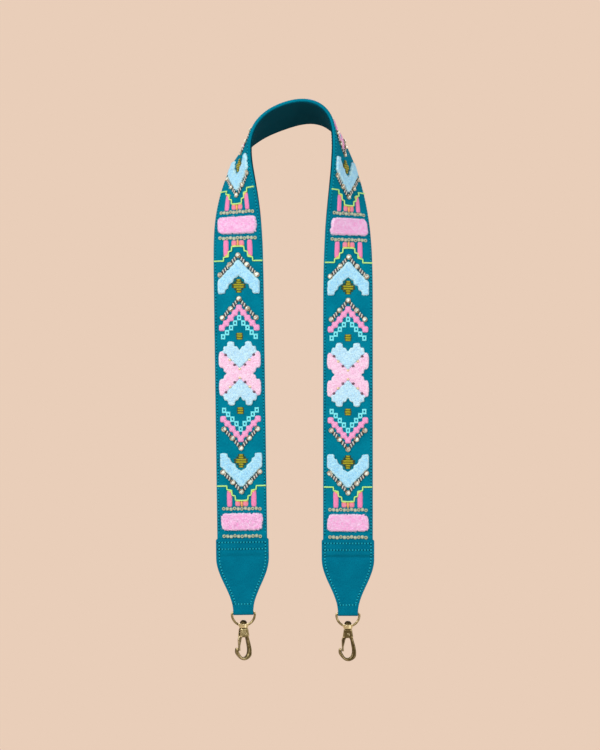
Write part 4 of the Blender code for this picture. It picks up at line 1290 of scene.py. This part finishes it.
tab_canvas = canvas("tab_canvas", (0.0001, 0.095, 0.170), (0.0006, 0.230, 0.350))
board = fibreboard("fibre_board")
for side in ("left", "right"):
    profile, run = tab_profile(side)
    tab_cut = run[-1]
    tab = add_grid(f"folded_tab_{side}", 2.0, tab_cut, tab_columns, len(run) - 1)
    flat = corners_of(tab)
    row = np.rint((flat[:, 1] / tab_cut + 0.5) * (len(run) - 1)).astype(int)
    reach, level = profile[row].T
    flat[:, 0] *= tab_half(np.maximum(level, 0))
    flat[:, 1] = run[row]
    set_corners(tab, flat)
    lay_map(tab)
    outward = np.sign(reach) * (level > 0)
    puff = tab_puff(flat[:, 0], run[row], level)
    set_at_end(tab, side, np.column_stack([flat[:, 0], reach + outward * puff, level]))
    thicken(tab, tab_leaf, 0.0)
    finish_with(tab, "BEVEL", width=tab_edge, segments=2, angle_limit=radians(60))
    dress(tab, tab_canvas, f"tab_{side}")
    for face_name, sign in (("face", -1), ("back", 1)):
        stitches = add_stitches(f"tab_stitches_{face_name}_{side}", tab_spots(), 0.0, teal_thread,
                                tab_stitch_width)
        across, along, lift = corners_of(stitches).T
        reach = leaf_reach(along, side) + tab_leaf / 2 + lift + tab_stitch_lift
        set_at_end(stitches, side, np.column_stack([-sign * across, sign * reach, along]))
        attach(stitches, "strap")
    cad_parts[f"tab_stiffener_{side}"].material_slots[0].material = board

# The metal ends. The rings, studs, hooks and gates are cast brass, tumbled until their edges are soft,
# then antiqued: the patina stays dark in the hollows and is rubbed through to bright brass on the edges.
# A leaf of spring steel sits in each hook's slot.
cast_pieces = (
    ("ring", "cast_ring", 0.00018, 6, "swing_ring", "antique_brass", 0.52),
    ("swivel_stud", "domed_stud", 0.00012, 5, "snap_hook", "antique_brass", 0.20),
    ("hook", "cast_hook", 0.00020, 6, "snap_hook", "antique_brass", 0.44),
    ("gate", "gate_lever", 0.00014, 5, "lever", "bright_brass", 0.50),
    ("gate_pin", "rivet_pin", 0.00010, 3, "snap_hook", "antique_brass", 0.30),
)
weld_distance = 0.000001
wear_gain = 0.30
wear_limit = 1.3
wear_passes = 6
boss_polish_and_highlight = 0.92
boss_reach = 0.0052
block_lightening = 0.50
block_share = 0.30
spring_cuts = 3


def brass(name, patina, body, rubbed, roughness):
    """Antiqued brass: brown patina, a mottled body colour and rubbed edges, with fine scratches."""
    material, tree = new_shader(name)
    where = add_node(tree, "TexCoord")["Object"]
    wear = add_node(tree, "Attribute", attribute_name="wear")["Fac"]
    mottle = speckle(tree, where, 420.0, 4.0)
    stain = speckle(tree, where, 130.0, 2.0)
    streaks = add_node(tree, "Mapping", {"Vector": where, "Scale": (1.0, 1.0, 0.12)})["Vector"]
    scratch = speckle(tree, streaks, 3200.0, 2.0)
    tone = reckon(tree, "MULTIPLY_ADD", stain, 0.5, reckon(tree, "MULTIPLY_ADD", mottle, 0.5, wear))
    colour = mix_colours(tree, spread(tree, tone, 0.62, 1.05), patina, body)
    colour = mix_colours(tree, spread(tree, tone, 1.05, 1.5), colour, rubbed)
    shine = spread(tree, tone, 0.5, 1.5, roughness * 1.5, roughness)
    add_principled(tree, Base_Color=colour, Metallic=1.0, Roughness=shine,
                   Normal=bump(tree, scratch, 0.15, 0.00005))
    return material


def drawn_steel(name):
    """Spring steel: a bright grey, a little uneven."""
    material, tree = new_shader(name)
    grain = speckle(tree, add_node(tree, "TexCoord")["Object"], 2600.0, 2.0)
    add_principled(tree, Base_Color=mix_colours(tree, grain, (0.38, 0.38, 0.39), (0.62, 0.62, 0.62)),
                   Metallic=1.0, Roughness=0.3)
    return material


def add_wear(piece, level, polished):
    """Stores how far each vertex stands out of its surroundings, from about 0 in hollows to 1 on edges."""
    places = corners_of(piece)
    ends = read_all(piece.data.edges, "vertices", 2, int)
    count = np.bincount(ends.ravel(), minlength=len(places)).astype(float)

    def around(values):
        total = np.zeros_like(values)
        np.add.at(total, ends[:, 0], values[ends[:, 1]])
        np.add.at(total, ends[:, 1], values[ends[:, 0]])
        return total / (count if values.ndim == 1 else count[:, None])

    normals = read_all(piece.data.vertices, "normal", 3)
    span = np.linalg.norm(places[ends[:, 0]] - places[ends[:, 1]], axis=1).mean()
    bulge = -((around(places) - places) * normals).sum(axis=1) / span
    for _ in range(wear_passes):
        bulge = around(bulge)
    worn = level + wear_gain * (bulge - bulge.mean()) / bulge.std()
    # Places set brighter: the ring's boss, partly polish and partly painted highlight, and the top of each
    # hook.
    if polished:
        worn = np.maximum(worn, polished(places))
    store_shares(piece.data, "wear", np.clip(worn, 0, wear_limit))


def copy_solid(node, name, cuts=0):
    """A copy of a solid with its faces joined up, cut further when cuts are asked for."""
    piece = add_object(name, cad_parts[node].data.copy())
    piece.data.name = name
    pick(piece)
    bpy.ops.object.mode_set(mode="EDIT")
    bpy.ops.mesh.select_all(action="SELECT")
    bpy.ops.mesh.remove_doubles(threshold=weld_distance)
    if cuts:
        bpy.ops.mesh.subdivide(number_cuts=cuts)
    bpy.ops.object.mode_set(mode="OBJECT")
    return piece


def cast(node, name, voxel, passes, level, polished):
    """A copy of a solid, remeshed finely and rubbed smooth at its edges."""
    piece = copy_solid(node, name)
    finish_with(piece, "REMESH", mode="VOXEL", voxel_size=voxel)
    finish_with(piece, "SMOOTH", iterations=passes)
    add_wear(piece, level, polished)
    return piece


brasses = {
    "antique_brass": brass("antique_brass", (0.028, 0.020, 0.009), (0.150, 0.125, 0.055),
                           (0.74, 0.68, 0.42), 0.30),
    "bright_brass": brass("bright_brass", (0.07, 0.055, 0.03), (0.28, 0.25, 0.14),
                          (0.74, 0.68, 0.46), 0.26),
}
steel = drawn_steel("spring_steel")
for side in ("left", "right"):
    axes, origin = end_axes(side)

    def on_boss(places):
        """The boss is made bright: partly polish from the hook turning under it, partly a painted highlight.
        """
        local = (places - origin) @ axes
        return boss_polish_and_highlight * (np.hypot(local[:, 0], local[:, 1]) < boss_reach)

    def on_block(places):
        """The top of each hook, its block, is made lighter than its arms."""
        low, high = places[:, 2].min(), places[:, 2].max()
        return block_lightening * (places[:, 2] > high - (high - low) * block_share)

    for node, name, voxel, passes, body, slot, level in cast_pieces:
        piece = cast(f"{node}_{side}", f"{name}_{side}", voxel, passes, level,
                     {"ring": on_boss, "hook": on_block}.get(node))
        dress(piece, brasses[slot], f"{node}_{side}", f"{body}_{side}")

    spring = copy_solid(f"gate_spring_{side}", f"leaf_spring_{side}", spring_cuts)
    spring.data.materials.clear()
    spring.data.materials.append(steel)
    places = corners_of(spring)
    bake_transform(spring)
    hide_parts(f"gate_spring_{side}")
